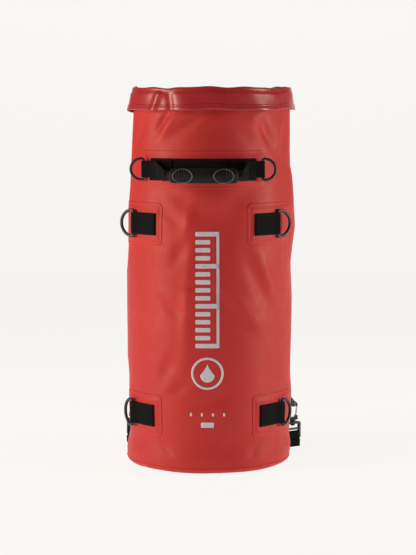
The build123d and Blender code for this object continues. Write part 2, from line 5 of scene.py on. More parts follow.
import bpy
import numpy as np
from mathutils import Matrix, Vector


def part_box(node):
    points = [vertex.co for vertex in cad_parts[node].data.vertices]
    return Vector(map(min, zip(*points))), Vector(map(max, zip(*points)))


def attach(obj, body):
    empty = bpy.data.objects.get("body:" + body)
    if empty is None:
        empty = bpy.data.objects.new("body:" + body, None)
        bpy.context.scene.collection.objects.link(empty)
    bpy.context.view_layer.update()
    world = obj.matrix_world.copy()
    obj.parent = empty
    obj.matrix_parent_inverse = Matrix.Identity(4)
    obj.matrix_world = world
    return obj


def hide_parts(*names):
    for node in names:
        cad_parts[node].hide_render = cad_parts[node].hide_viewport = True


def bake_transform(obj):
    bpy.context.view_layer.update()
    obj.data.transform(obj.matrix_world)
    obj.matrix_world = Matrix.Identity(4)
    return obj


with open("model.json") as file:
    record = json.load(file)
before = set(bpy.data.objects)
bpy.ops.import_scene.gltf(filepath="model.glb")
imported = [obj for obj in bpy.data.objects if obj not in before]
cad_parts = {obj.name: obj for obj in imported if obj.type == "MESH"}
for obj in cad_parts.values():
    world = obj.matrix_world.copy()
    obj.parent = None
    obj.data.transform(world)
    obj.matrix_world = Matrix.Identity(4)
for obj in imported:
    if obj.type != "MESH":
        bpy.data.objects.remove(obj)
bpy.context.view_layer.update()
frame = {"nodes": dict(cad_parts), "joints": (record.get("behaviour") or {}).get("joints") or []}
JOINT_PLACES = {joint["name"]: joint["pos_m"] for joint in frame["joints"]}
MM = 0.001
BAG = "bag"
SIDES = (("left", -1), ("right", 1))
WALL_MEAN = 0.149             # the radius that turns a length round the wall into an angle


def bag_angle(point):
    """The angle of a point round the bag, from the front and positive to the right."""
    return math.atan2(point[0], -point[1])


def middle_angle(rings):
    """The angle half way between a left and a right ring's bars."""
    return sum(bag_angle(JOINT_PLACES[f"{rings}_{word}_swing"]) for word, _ in SIDES) / 2


HANDLE_ANGLE = middle_angle("handle_ring")
HANDLE_Z = JOINT_PLACES["handle_lift"][2]


# ---- the shape of the wall ---------------------------------------------------
# height and radius of the outside of the tube, in millimetres
WALL_HEIGHTS = [12, 25, 50, 80, 110, 200, 300, 400, 473, 520, 560, 600, 700]
WALL_RADII = [148.2, 148.6, 145.6, 146.9, 148.0, 149.2, 149.6, 149.6, 148.8, 145.0, 141.2, 140.3, 139.6]
TABLE_STEP = 0.001
TABLE_SMOOTHING = 31
BASE_CORNER = 0.012
FABRIC = 0.0012
LOWEST_Z = 0.0004

# how far the left and right sides of the slack tube stand to the right, by height (all mm)
SIDE_LEAN = [(0, 0, 0), (33, 0, 4), (60, 3.5, 3), (128, 3.5, 5), (160, 4, 3), (190, 1.3, 2.4),
             (300, 1.3, 2.4), (350, 1.3, 0.5), (365, 3.2, 0.5), (381, 5, 2.4), (397, 6.9, 4.3),
             (428, 8.8, 9.5), (476, 8.8, 11), (500, 11.5, 10), (523, 12.6, 8.6), (540, 9, 6.5),
             (560, 9.5, 7.5), (600, 10.9, 8.3), (680, 10.9, 8.3)]
LEAN_STARTS = (66, 86)        # degrees from the front between which the lean comes in
LEAN_ENDS = (100, 118)        # and between which it goes


def wall_table():
    heights = np.arange(-0.05, 0.75, TABLE_STEP)
    radii = np.interp(heights / MM, WALL_HEIGHTS, WALL_RADII) * MM
    window = np.hanning(TABLE_SMOOTHING)
    window /= window.sum()
    padded = np.pad(radii, TABLE_SMOOTHING // 2, mode="edge")
    return heights, np.convolve(padded, window, mode="valid")


TABLE_HEIGHTS, TABLE_RADII = wall_table()

# soft folds and dents: angle from the front in degrees, height, half-length, half-width (mm),
# tilt of the length from level in degrees, and how far it stands out (mm, negative is a dent)
FOLDS = [
    # under the cuff
    (-32, 620, 22, 6.5, 50, -5.5), (-27, 612, 24, 8, 52, 2.5), (-12, 613, 46, 10, 30, -5.0),
    (-16, 628, 34, 9, 24, 2.0), (0, 640, 70, 9, 2, -2.5), (41, 628, 20, 10, 10, 4.0),
    (50, 602, 30, 13, -55, -6.0), (30, 600, 46, 16, -40, -2.5), (-3, 575, 70, 22, 8, 2.0),
    (-55, 600, 34, 10, 64, -2.2), (-70, 575, 55, 14, 80, 2.0), (66, 600, 40, 14, 70, 3.0),
    # below the handle and down the front
    (-38, 330, 170, 48, 90, -2.5), (8, 490, 95, 26, -24, 2.6), (-12, 478, 60, 18, -34, -2.2),
    (24, 478, 80, 24, 40, -3.2), (-11, 440, 36, 12, 78, 3.6), (-17, 392, 26, 12, 60, -3.8),
    (-10, 340, 60, 12, 84, 3.2), (-8, 333, 14, 8, 20, -2.2), (-22, 292, 28, 12, -30, -3.0),
    (-12, 262, 60, 13, 88, 2.8), (48, 345, 50, 12, -62, 3.2), (38, 340, 60, 14, -62, -3.0),
    (28, 292, 55, 14, -45, 2.6), (20, 285, 55, 14, -45, -2.4), (14, 420, 70, 20, 74, -2.6),
    (-2, 392, 60, 11, 70, -2.4), (-24, 455, 30, 12, -38, -2.6),
    # towards the foot
    (-27, 184, 26, 14, 60, -3.4), (-16, 154, 24, 11, 30, -3.4), (4, 128, 34, 10, 25, -3.0),
    (56, 180, 26, 16, 70, -2.2), (-28, 43, 18, 8, -40, -2.0), (37, 36, 16, 8, 40, -2.0),
    (58, 40, 16, 10, 80, -2.0), (8, 48, 40, 14, 60, 1.8), (26, 92, 50, 18, -30, 2.0),
    # the back
    (95, 500, 110, 24, 60, -4.0), (112, 430, 120, 26, 74, 3.2), (130, 350, 140, 28, -66, -4.0),
    (150, 280, 120, 30, -48, 3.0), (165, 460, 110, 26, 50, -3.6), (185, 380, 130, 30, -70, 3.4),
    (205, 520, 90, 22, 40, -3.8), (215, 300, 130, 30, 64, -3.4), (236, 400, 130, 28, 80, 3.2),
    (250, 520, 90, 22, -44, -3.6), (262, 330, 120, 26, 70, -3.0), (200, 180, 90, 24, 20, -3.0),
    (160, 150, 80, 22, -30, 2.6), (228, 170, 80, 22, 40, 2.4), (100, 220, 90, 24, 70, -3.0),
    (255, 190, 90, 24, -60, -2.6), (140, 600, 60, 16, 40, 3.0), (200, 596, 60, 16, -30, -3.0),
]


def wrapped(angle):
    return (angle + math.pi) % (2 * math.pi) - math.pi


def smooth_step(x, low, high):
    t = np.clip((x - low) / (high - low), 0, 1)
    return t * t * (3 - 2 * t)


def wall_radius(angle, z):
    """Radius of the outside of the standing tube, with its folds. Angle in radians from the front."""
    radius = np.interp(z, TABLE_HEIGHTS, TABLE_RADII)
    for degrees, height, length, width, tilt, lift in FOLDS:
        u = wrapped(angle - math.radians(degrees)) * WALL_MEAN
        v = z - height * MM
        slant = math.radians(tilt)
        along = (u * math.cos(slant) + v * math.sin(slant)) / (length * MM)
        side = (-u * math.sin(slant) + v * math.cos(slant)) / (width * MM)
        radius = radius + lift * MM * np.exp(-along ** 2 - side ** 2)
    ripple = np.sin(3 * angle + 9 * z + 0.6) + 0.6 * np.sin(5 * angle - 14 * z + 2.1)
    return radius + 0.0006 * ripple * smooth_step(z, 0.02, 0.1)


def on_wall(angle, z, lift=0.0):
    """Points that stand lift outside the wall."""
    radius = wall_radius(angle, z) + lift
    return placed(angle, radius, z)


def side_lean(angle, z):
    """The shift to the right of the tube's two sides. Its front, and its back, stay put."""
    heights, left, right = np.array(SIDE_LEAN).T * MM
    turn = np.degrees(np.abs(wrapped(angle)))
    share = smooth_step(turn, *LEAN_STARTS) * (1 - smooth_step(turn, *LEAN_ENDS))
    return share * np.where(wrapped(angle) < 0, np.interp(z, heights, left), np.interp(z, heights, right))


def placed(angle, radius, z):
    shift = side_lean(angle, z)
    return np.stack([radius * np.sin(angle) + shift, -radius * np.cos(angle), z + 0 * angle], axis=-1)


# ---- mesh helpers --------------------------------------------------------------
def grid_faces(rows, columns, closed_rows=False, closed_columns=False):
    """Quads over a grid of rows x columns vertices."""
    faces = []
    for i in range(rows if closed_rows else rows - 1):
        for j in range(columns if closed_columns else columns - 1):
            a = i * columns + j
            b = i * columns + (j + 1) % columns
            c = ((i + 1) % rows) * columns + (j + 1) % columns
            d = ((i + 1) % rows) * columns + j
            faces.append((a, b, c, d))
    return faces


def capped_grid(rows, columns):
    """The faces of a grid that closes round, with its two ends filled in."""
    faces = grid_faces(rows, columns, closed_columns=True)
    faces.append(tuple(reversed(range(columns))))
    faces.append(tuple((rows - 1) * columns + k for k in range(columns)))
    return faces


def unit(vectors):
    """A vector, or each row of an array of them, at length 1."""
    return vectors / np.linalg.norm(vectors, axis=-1, keepdims=True)


def run_along(points):
    """Each point's distance from the first, along the line."""
    return np.concatenate([[0], np.cumsum(np.linalg.norm(np.diff(points, axis=0), axis=1))])


def hump(x, width):
    """A smooth hump, 1 where x is 0."""
    return np.exp(-(x / width) ** 2)


def hump_at(angle, degrees, width):
    """A smooth hump at one place round the bag."""
    return hump(wrapped(angle - math.radians(degrees)), width)


def make_piece(name, parts, body=BAG, replaces=(), strap=None):
    """One object from (vertices, faces, material) parts, which rides on a body."""
    vertices, faces, indices, materials = [], [], [], []
    for part_vertices, part_faces, part_material in parts:
        start = len(vertices)
        vertices.extend(map(tuple, np.asarray(part_vertices, float).reshape(-1, 3)))
        faces.extend(tuple(start + k for k in face) for face in part_faces)
        if part_material not in materials:
            materials.append(part_material)
        indices.extend([materials.index(part_material)] * len(part_faces))
    mesh = bpy.data.meshes.new(name)
    mesh.from_pydata(vertices, [], faces)
    for one in materials:
        mesh.materials.append(one)
    mesh.polygons.foreach_set("material_index", indices)
    mesh.polygons.foreach_set("use_smooth", [True] * len(faces))
    if strap is not None:
        layer = mesh.attributes.new("strap", "FLOAT_VECTOR", "POINT")
        values = np.zeros((len(vertices), 3))
        values[:len(strap)] = strap
        layer.data.foreach_set("vector", values.ravel())
    mesh.validate()
    mesh.update()
    piece = bpy.data.objects.new(name, mesh)
    bpy.context.scene.collection.objects.link(piece)
    if body:
        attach(piece, body)
    if replaces:
        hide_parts(*replaces)
    return piece


def rounded_outline(width, height, corner, count):
    """Points round a rectangle with round corners, evenly spaced, anticlockwise."""
    corner = min(corner, width / 2 - 1e-6, height / 2 - 1e-6)
    straight_x = width - 2 * corner
    straight_y = height - 2 * corner
    quarter = math.pi * corner / 2
    total = 2 * straight_x + 2 * straight_y + 4 * quarter
    points = []
    for k in range(count):
        s = total * k / count
        for side in range(4):
            run = straight_y if side % 2 == 0 else straight_x
            turn = side * math.pi / 2
            half = (width / 2, height / 2) if side % 2 == 0 else (height / 2, width / 2)
            if s <= run:
                local = (half[0], -half[1] + corner + s)
                break
            s -= run
            if s <= quarter:
                a = s / corner
                local = (half[0] - corner + corner * math.cos(a), half[1] - corner + corner * math.sin(a))
                break
            s -= quarter
        points.append((local[0] * math.cos(turn) - local[1] * math.sin(turn),
                       local[0] * math.sin(turn) + local[1] * math.cos(turn)))
    return np.array(points)


def conform(angle, z, flat_points, lift):
    """Flat points (round the bag, up) laid on the wall at an angle and a height."""
    flat_points = np.asarray(flat_points, float)
    angles = angle + flat_points[..., 0] / WALL_MEAN
    return on_wall(angles, z + flat_points[..., 1], lift)


def filled_rings(rings):
    """Faces over rings of equal count, from the outermost to a last one that closes in a fan."""
    count = len(rings[0])
    faces = grid_faces(len(rings), count, closed_columns=True)
    last = (len(rings) - 1) * count
    faces.append(tuple(last + k for k in range(count)))
    return np.concatenate(rings), faces


def panel(angle, z, width, height, corner, profile, count=160):
    """A layer on the wall. The profile lists (distance in from the edge, height above the wall)."""
    rings = []
    for inset, lift in profile:
        outline = rounded_outline(width - 2 * inset, height - 2 * inset, max(corner - inset, 0.0015), count)
        rings.append(conform(angle, z, outline, lift))
    smallest = min(width, height) / 2 - 0.0005
    last_inset, last_lift = profile[-1]
    steps = 8
    for k in range(1, steps + 1):
        inset = last_inset + (smallest - last_inset) * k / steps
        outline = rounded_outline(width - 2 * inset, height - 2 * inset, 0.0015, count)
        rings.append(conform(angle, z, outline, last_lift))
    return filled_rings(rings)


def catmull(points, per_span=8):
    """A smooth line through the points."""
    p = np.asarray(points, float)
    p = np.vstack([2 * p[0] - p[1], p, 2 * p[-1] - p[-2]])
    out = []
    for i in range(1, len(p) - 2):
        for k in range(per_span):
            t = k / per_span
            out.append(0.5 * (2 * p[i] + (p[i + 1] - p[i - 1]) * t
                              + (2 * p[i - 1] - 5 * p[i] + 4 * p[i + 1] - p[i + 2]) * t * t
                              + (3 * p[i] - p[i - 1] - 3 * p[i + 1] + p[i + 2]) * t ** 3))
    out.append(p[-2])
    return np.array(out)


STRAP_ROWS = 12


def strap_solid(centre, across, width, thickness, shift=None):
    """A webbing strap along the centre line. Gives vertices, faces and (along, across, edge) values."""
    centre = np.asarray(centre, float)
    count = len(centre)
    widths = np.broadcast_to(np.asarray(width, float), (count,))
    across = np.broadcast_to(np.asarray(across, float), centre.shape)
    normal = unit(np.cross(unit(np.gradient(centre, axis=0)), across))
    along = run_along(centre)
    edge = 0.35 * thickness
    spread = np.linspace(-1, 1, STRAP_ROWS)
    section = [(-1.0, 0.0)] + [(s, thickness / 2) for s in spread]
    section += [(1.0, 0.0)] + [(s, -thickness / 2) for s in reversed(spread)]
    vertices, values = [], []
    for i in range(count):
        for share, t in section:
            w = share * (widths[i] / 2 - (edge if t else 0))
            point = centre[i] + across[i] * w + normal[i] * t
            if shift is not None:
                point = point + shift(i, w)
            vertices.append(point)
            values.append((along[i], w, abs(share)))
    return np.array(vertices), capped_grid(count, len(section)), np.array(values)


THREAD_SIDES = 6
THREAD_SHAPE = ((0, 0.35), (0.25, 1.0), (0.75, 1.0), (1, 0.35))     # place along a stitch, and size


def stitches(points, normals, pitch=0.0028, length=0.0019, radius=0.00033):
    """A row of short raised threads along a line."""
    points = np.asarray(points, float)
    normals = np.broadcast_to(np.asarray(normals, float), points.shape)
    run = run_along(points)

    def at(place, rows):
        return np.array([np.interp(place, run, rows[:, k]) for k in range(3)])

    vertices, faces = [], []
    for place in np.arange(pitch / 2, run[-1] - length / 2, pitch):
        start = at(place - length / 2, points)
        end = at(place + length / 2, points)
        up = unit(at(place, normals))
        side = np.cross(up, unit(end - start))
        first = len(vertices)
        for share, size in THREAD_SHAPE:
            for k in range(THREAD_SIDES):
                turn = 2 * math.pi * k / THREAD_SIDES
                offset = side * math.cos(turn) + up * math.sin(turn)
                vertices.append(start + (end - start) * share + offset * radius * size)
        for face in capped_grid(len(THREAD_SHAPE), THREAD_SIDES):
            faces.append(tuple(first + index for index in face))
    return np.array(vertices).reshape(-1, 3), faces


def stitched(points, normals, *sizes):
    """Stitching along a line, as a part of a piece."""
    return (*stitches(points, normals, *sizes), THREAD)


def stitched_on_wall(angles, z, lift):
    """Stitching along a line that stands lift outside the wall."""
    normals = np.stack([np.sin(angles), -np.cos(angles), 0 * angles], axis=-1)
    return stitched(on_wall(angles, z, lift), normals)


def strap_piece(name, strap, sewing, nodes=()):
    """Webbing with its stitching, as one object that stands for the CAD nodes named."""
    vertices, faces, values = strap
    make_piece(name, [(vertices, faces, WEBBING), *sewing], replaces=nodes, strap=values)


def box_and_cross(low, high, count=24):
    """The six lines of a sewn box with a cross in it, between two opposite corners."""
    corners = np.array([low, (high[0], low[1]), high, (low[0], high[1])])
    share = np.linspace(0, 1, count)[:, None]
    ends = ((0, 1), (1, 2), (2, 3), (3, 0), (0, 2), (1, 3))
    return [corners[a] + (corners[b] - corners[a]) * share for a, b in ends]


# ---- materials -----------------------------------------------------------------
YARN_COLUMN = 0.0022
YARN_PITCH = 0.0014


def tint(colour, share):
    return tuple(share * channel for channel in colour)


class Surface:
    """A Principled material, with short ways to add nodes."""

    def __init__(self, name, colour, roughness, **sockets):
        self.material = bpy.data.materials.new(name)
        self.material.use_nodes = True
        self.tree = self.material.node_tree
        self.shader = self.tree.nodes["Principled BSDF"]
        self.shader.inputs["Base Color"].default_value = (*colour, 1)
        self.shader.inputs["Roughness"].default_value = roughness
        for socket, value in sockets.items():
            self.shader.inputs[socket.replace("_", " ")].default_value = value

    def node(self, kind, **settings):
        made = self.tree.nodes.new(kind)
        for key, value in settings.items():
            if key in made.inputs:
                made.inputs[key].default_value = value
            else:
                setattr(made, key, value)
        return made

    def link(self, source, target):
        self.tree.links.new(source, target)

    def coordinates(self, stretch=(1, 1, 1)):
        source = self.node("ShaderNodeTexCoord")
        mapping = self.node("ShaderNodeMapping")
        mapping.inputs["Scale"].default_value = stretch
        self.link(source.outputs["Object"], mapping.inputs["Vector"])
        return mapping.outputs["Vector"]

    def noise(self, scale, detail=3.0, vector=None, roughness=0.55):
        made = self.node("ShaderNodeTexNoise")
        made.inputs["Scale"].default_value = scale
        made.inputs["Detail"].default_value = detail
        made.inputs["Roughness"].default_value = roughness
        self.link(vector or self.coordinates(), made.inputs["Vector"])
        return made.outputs["Fac"]

    def ramp(self, factor, low, high, start=0.3, end=0.7):
        made = self.node("ShaderNodeValToRGB")
        made.color_ramp.elements[0].position = start
        made.color_ramp.elements[0].color = (*low, 1)
        made.color_ramp.elements[1].position = end
        made.color_ramp.elements[1].color = (*high, 1)
        self.link(factor, made.inputs["Fac"])
        return made.outputs["Color"]

    def range(self, factor, low, high, start=0.3, end=0.7):
        made = self.node("ShaderNodeMapRange")
        for socket, value in (("From Min", start), ("From Max", end), ("To Min", low), ("To Max", high)):
            made.inputs[socket].default_value = value
        self.link(factor, made.inputs["Value"])
        return made.outputs["Result"]

    def maths(self, operation, a, b=None):
        made = self.node("ShaderNodeMath", operation=operation)
        for socket, value in zip(made.inputs, (a, b)):
            if value is None:
                continue
            if isinstance(value, (int, float)):
                socket.default_value = value
            else:
                self.link(value, socket)
        return made.outputs["Value"]

    def ridges(self, value, pitch):
        """Rounded ridges, one to each pitch."""
        return self.maths("ABSOLUTE", self.maths("SINE", self.maths("MULTIPLY", value, math.pi / pitch)))

    def piece_values(self):
        """The three values that a piece stores at its points."""
        values = self.node("ShaderNodeAttribute", attribute_name="strap")
        split = self.node("ShaderNodeSeparateXYZ")
        self.link(values.outputs["Vector"], split.inputs["Vector"])
        return [split.outputs[axis] for axis in "XYZ"]

    def colour_from(self, output):
        self.link(output, self.shader.inputs["Base Color"])

    def roughness_from(self, output):
        self.link(output, self.shader.inputs["Roughness"])

    def bump(self, height, distance, strength=1.0, under=None):
        made = self.node("ShaderNodeBump")
        made.inputs["Strength"].default_value = strength
        made.inputs["Distance"].default_value = distance
        self.link(height, made.inputs["Height"])
        if under is not None:
            self.link(under, made.inputs["Normal"])
        self.link(made.outputs["Normal"], self.shader.inputs["Normal"])
        return made.outputs["Normal"]


def tarpaulin(name, light, dark, gloss=0.20, roughness=(0.42, 0.56)):
    """Coated fabric: faint colour drift, fine grain and the scrim's weave just showing through."""
    surface = Surface(name, light, 0.5, Specular_IOR_Level=gloss)
    surface.colour_from(surface.ramp(surface.noise(7.0, 5.0), dark, light, 0.25, 0.75))
    surface.roughness_from(surface.range(surface.noise(60.0, 4.0), *roughness))
    grain = surface.bump(surface.noise(1400.0, 2.0), 0.00012, 0.5)
    surface.bump(surface.noise(160.0, 3.0), 0.0002, 0.35, under=grain)
    return surface.material


def webbing(name, colour):
    """Woven strap: rows of slanted yarns, from the strap's own along and across values."""
    surface = Surface(name, colour, 0.85, Specular_IOR_Level=0.12)
    along, across, edge = surface.piece_values()
    slanted = surface.maths("ADD", along, surface.maths("PINGPONG", across, YARN_COLUMN))
    columns = surface.ridges(across, YARN_COLUMN)
    weave = surface.maths("MULTIPLY", columns, surface.ridges(slanted, YARN_PITCH))
    shade = surface.ramp(weave, tint(colour, 0.45), tint(colour, 1.5), 0.1, 0.9)
    surface.colour_from(shade)
    surface.roughness_from(surface.range(edge, 0.85, 0.7, 0.8, 1.0))
    fuzz = surface.bump(surface.noise(2500.0, 2.0), 0.0001, 0.4)
    surface.bump(weave, 0.00035, 0.8, under=fuzz)
    return surface.material


def coated_metal(name, colour, roughness):
    surface = Surface(name, colour, roughness, Specular_IOR_Level=0.45, Coat_Weight=0.15, Coat_Roughness=0.3)
    surface.colour_from(surface.ramp(surface.noise(140.0, 4.0), tint(colour, 0.7), tint(colour, 1.4)))
    surface.roughness_from(surface.range(surface.noise(500.0, 4.0), roughness - 0.08, roughness + 0.12))
    surface.bump(surface.noise(900.0, 2.0), 0.00006, 0.5)
    return surface.material


def steel(name):
    surface = Surface(name, (0.62, 0.58, 0.57), 0.28, Metallic=1.0)
    brushed = surface.noise(300.0, 3.0, surface.coordinates((1, 1, 12)))
    surface.roughness_from(surface.range(brushed, 0.2, 0.4))
    surface.bump(surface.noise(700.0, 2.0, surface.coordinates((1, 1, 10))), 0.00004, 0.4)
    return surface.material


def rubber(name, colour, painted_highlight=None):
    """Moulded rubber. Where the piece's raised value is 1 it shows a paler colour, a painted highlight on
    the raised ridges.
    """
    surface = Surface(name, colour, 0.6, Specular_IOR_Level=0.2)
    base = surface.ramp(surface.noise(45.0, 4.0), tint(colour, 0.75), colour)
    if painted_highlight is None:
        surface.colour_from(base)
    else:
        raised = surface.piece_values()[0]
        blend = surface.node("ShaderNodeMix", data_type="RGBA")
        # a colour mix keeps its factor at input 0, its colours at 6 and 7 and its result at output 2
        surface.link(surface.range(raised, 0.0, 1.0, 0.45, 0.95), blend.inputs[0])
        surface.link(base, blend.inputs[6])
        blend.inputs[7].default_value = (*painted_highlight, 1)
        surface.colour_from(blend.outputs[2])
    surface.roughness_from(surface.range(surface.noise(200.0, 4.0), 0.48, 0.68))
    surface.bump(surface.noise(1300.0, 3.0), 0.0001, 0.6)
    return surface.material


def plastic(name, colour):
    surface = Surface(name, colour, 0.42, Specular_IOR_Level=0.5)
    surface.colour_from(surface.ramp(surface.noise(60.0, 3.0), tint(colour, 0.8), colour))
    surface.roughness_from(surface.range(surface.noise(400.0, 3.0), 0.36, 0.52))
    surface.bump(surface.noise(1800.0, 2.0), 0.00005, 0.5)
    return surface.material


def padding_cloth(name, colour):
    """Spacer mesh: small round cells in a dark knit."""
    surface = Surface(name, colour, 0.85, Specular_IOR_Level=0.25, Sheen_Weight=0.25, Sheen_Roughness=0.5)
    cells = surface.node("ShaderNodeTexVoronoi", feature="DISTANCE_TO_EDGE")
    cells.inputs["Scale"].default_value = 430.0
    cells.inputs["Randomness"].default_value = 0.25
    surface.link(surface.coordinates(), cells.inputs["Vector"])
    edge = cells.outputs["Distance"]
    surface.colour_from(surface.ramp(edge, tint(colour, 1.5), tint(colour, 0.4), 0.1, 0.5))
    surface.bump(edge, 0.0006, -0.7)
    return surface.material


def ink(name, colour):
    surface = Surface(name, colour, 0.5, Specular_IOR_Level=0.4)
    surface.colour_from(surface.ramp(surface.noise(350.0, 4.0), tint(colour, 0.9), colour, 0.35, 0.6))
    surface.bump(surface.noise(1400.0, 2.0), 0.00008, 0.4)
    return surface.material


RED = tarpaulin("red_tarpaulin", (0.520, 0.032, 0.028), (0.470, 0.026, 0.025))
RED_PATCH = tarpaulin("red_patch", (0.530, 0.033, 0.029), (0.480, 0.027, 0.026))
RED_INSIDE = tarpaulin("red_inside", (0.420, 0.022, 0.026), (0.360, 0.017, 0.022), 0.45, (0.26, 0.36))
WEBBING = webbing("black_webbing", (0.0050, 0.0050, 0.0056))
THREAD = rubber("black_thread", (0.010, 0.010, 0.011))
RING_METAL = coated_metal("black_coated_steel", (0.008, 0.010, 0.011), 0.36)
HOOK_METAL = coated_metal("hook_metal", (0.010, 0.010, 0.011), 0.32)
STEEL = steel("gate_steel")
# the grip's raised ovals get a paler colour that is a painted highlight
RUBBER = rubber("grip_rubber", (0.0060, 0.0060, 0.0064), painted_highlight=(0.10, 0.10, 0.10))
PLASTIC = plastic("buckle_plastic", (0.016, 0.016, 0.018))
STIFFENER = plastic("stiffener_plastic", (0.06, 0.06, 0.065))
PADDING = padding_cloth("padding", (0.022, 0.022, 0.024))
BINDING = rubber("pad_binding", (0.014, 0.014, 0.015))
INK = ink("print_grey", (0.56, 0.545, 0.60))


# ---- body tube and base ----------------------------------------------------------
TUBE_COLUMNS = 360
TUBE_ROWS = 300
TUBE_FOOT = 0.0022
TUBE_CORNER_TOP = 0.03
TUBE_TOP = 0.668
FLANGE_TOP = 0.0095
FLANGE_THICKNESS = 0.0008


def corner_radius(angle, z, inset):
    """The wall below the base's corner curves in towards the flat."""
    arc = BASE_CORNER - inset
    drop = np.clip((BASE_CORNER - z) / arc, 0, 1)
    return wall_radius(angle, np.maximum(z, BASE_CORNER)) - arc * (1 - np.sqrt(1 - drop ** 2))


def make_tube():
    angles = np.linspace(0, 2 * math.pi, TUBE_COLUMNS, endpoint=False)[None, :]
    corner_rows = np.linspace(TUBE_FOOT, TUBE_CORNER_TOP, 24)
    wall_rows = np.linspace(TUBE_CORNER_TOP, TUBE_TOP, TUBE_ROWS)[1:]
    heights = np.concatenate([corner_rows, wall_rows])[:, None] + 0 * angles
    angles = angles + 0 * heights
    radius = corner_radius(angles, heights, FLANGE_THICKNESS)
    shell = np.concatenate([placed(angles, radius, heights), placed(angles, radius - FABRIC, heights)[::-1]])
    faces = grid_faces(2 * len(heights), TUBE_COLUMNS, closed_rows=True, closed_columns=True)
    make_piece("tarp_tube", [(shell, faces, RED)], replaces=["body_tube"])


def base_profile(angle):
    """Rings of the base, from the middle of its underside round to the flange and back inside."""
    rings = []
    flat_edge = wall_radius(angle, np.full_like(angle, BASE_CORNER)) + FLANGE_THICKNESS - BASE_CORNER
    for share in np.linspace(0.02, 1, 24):
        rings.append(placed(angle, flat_edge * share, LOWEST_Z * (1 - share) + 0 * angle))
    turns = np.linspace(0, math.acos(1 - FLANGE_TOP / BASE_CORNER), 14)
    # a pinch in the flange where the fabric was gathered
    pinch = 0.0035 * hump_at(angle, -50, 0.035)
    for turn in turns[1:]:
        z = BASE_CORNER * (1 - math.cos(turn)) + 0.0004 * np.sin(7 * angle)
        radius = flat_edge + BASE_CORNER * math.sin(turn)
        dent = pinch * math.sin(turn)
        rings.append(placed(angle, radius - dent, np.maximum(z, 0.0)))
    edge = turns[-1]
    z = BASE_CORNER * (1 - math.cos(edge)) + 0.0004 * np.sin(7 * angle)
    inside = flat_edge + (BASE_CORNER - FLANGE_THICKNESS - 0.0003) * math.sin(edge)
    rings.append(placed(angle, inside + 0.0006, z + 0.0003))
    rings.append(placed(angle, inside - 0.0022, z))
    for share in np.linspace(0.985, 0.02, 12):
        rings.append(placed(angle, (flat_edge - 0.002) * share, FABRIC + 0.0008 + 0 * angle))
    return rings


def make_base():
    angle = np.linspace(0, 2 * math.pi, TUBE_COLUMNS, endpoint=False)
    rings = base_profile(angle)
    vertices = np.concatenate(rings)
    faces = capped_grid(len(rings), TUBE_COLUMNS)
    make_piece("base_disc", [(vertices, faces, RED)], replaces=["base_panel"])


# ---- collar, turned out over the tube as a cuff --------------------------------------
CUFF_COLUMNS = 480
CUFF_FOOT = 0.612
CUFF_ROWS = 34
CUFF_GAP = 0.0013             # between the cuff's inner layer and the tube's inside
CREST_RADIUS = 0.0024
CREST_RISE = 0.0030
# how far down the turned-out side, and how far the hem's tape stands off there
HEM_PROFILE = ((0.72, 0.0), (0.73, 0.0005), (0.76, 0.0007), (0.775, 0.0004), (0.79, 0.0007),
               (0.90, 0.0009), (0.96, 0.0009), (0.985, 0.0006), (1.0, -0.0002))
HEM_TAPE = 0.0008
STIFFENER_HALF_ARC = 1.40     # radians


def crest_height(angle):
    return 0.6790 + 0.0010 * np.sin(4 * angle + 0.8) + 0.0009 * np.sin(9 * angle + 2.0) \
        + 0.0006 * np.sin(16 * angle)


def hem_height(angle):
    sag = 0.0058 * hump_at(angle, -88, 0.32)
    return 0.6398 + 0.0009 * np.sin(5 * angle + 1.4) + 0.0006 * np.sin(11 * angle + 0.4) - sag


def cuff_swell(angle, share):
    """How far the cuff stands off the tube. Share goes from 0 at the crest to 1 at the hem."""
    flare = 0.0016 + 0.0036 * share
    left = -0.0012 * hump_at(angle, -86, 0.34) * share
    ease = 0.0011 * np.sin(6 * angle + 1.0 + 1.6 * share) + 0.0007 * np.sin(13 * angle - 2.0 * share)
    crease = 0.0030 * hump_at(angle, -33 - 5 * share, 0.05)
    valley = -0.0024 * hump_at(angle, -26 + 3 * share, 0.05)
    end_fold = 0.0016 * hump_at(angle, -77 + 6 * share, 0.05)
    return flare + left + ease * (0.4 + share) + crease + valley + end_fold


def cuff_centre(angle):
    """Radius and height of the middle of the fabric, from the welded foot to the hem's edge."""
    inner = wall_radius(angle, np.full_like(angle, TUBE_TOP)) - FABRIC - CUFF_GAP
    shoulder = crest_height(angle) - CREST_RISE
    path = []
    for share in np.linspace(0, 1, 22):
        z = CUFF_FOOT + (shoulder - CUFF_FOOT) * share
        beside = wall_radius(angle, np.minimum(z, TUBE_TOP)) - FABRIC - CUFF_GAP
        path.append((beside * (1 - share) + inner * share, z))
    for turn in np.linspace(0, math.pi, 11)[1:]:
        path.append((inner + CREST_RADIUS * (1 - math.cos(turn)), shoulder + CREST_RISE * math.sin(turn)))
    for share in np.linspace(0, 1, CUFF_ROWS)[1:]:
        z = shoulder + (hem_height(angle) - shoulder) * share
        swell = cuff_swell(angle, share) * smooth_step(share, 0.0, 0.25) + 0.0005 * share
        path.append((inner + 2 * CREST_RADIUS + swell, z))
    return path


def shell_of(path, angle, thickness):
    """A closed shell of even thickness round a path of (radius, height) rings."""
    radii = np.array([r for r, _ in path])
    heights = np.array([z + 0 * angle for _, z in path])
    dr = np.gradient(radii, axis=0)
    dz = np.gradient(heights, axis=0)
    length = np.hypot(dr, dz)
    nr, nz = dz / length, -dr / length
    one = placed(angle[None, :] + 0 * radii, radii + nr * thickness / 2, heights + nz * thickness / 2)
    two = placed(angle[None, :] + 0 * radii, radii - nr * thickness / 2, heights - nz * thickness / 2)
    vertices = np.concatenate([one, two[::-1]])
    return vertices, grid_faces(2 * len(path), len(angle), closed_rows=True, closed_columns=True)


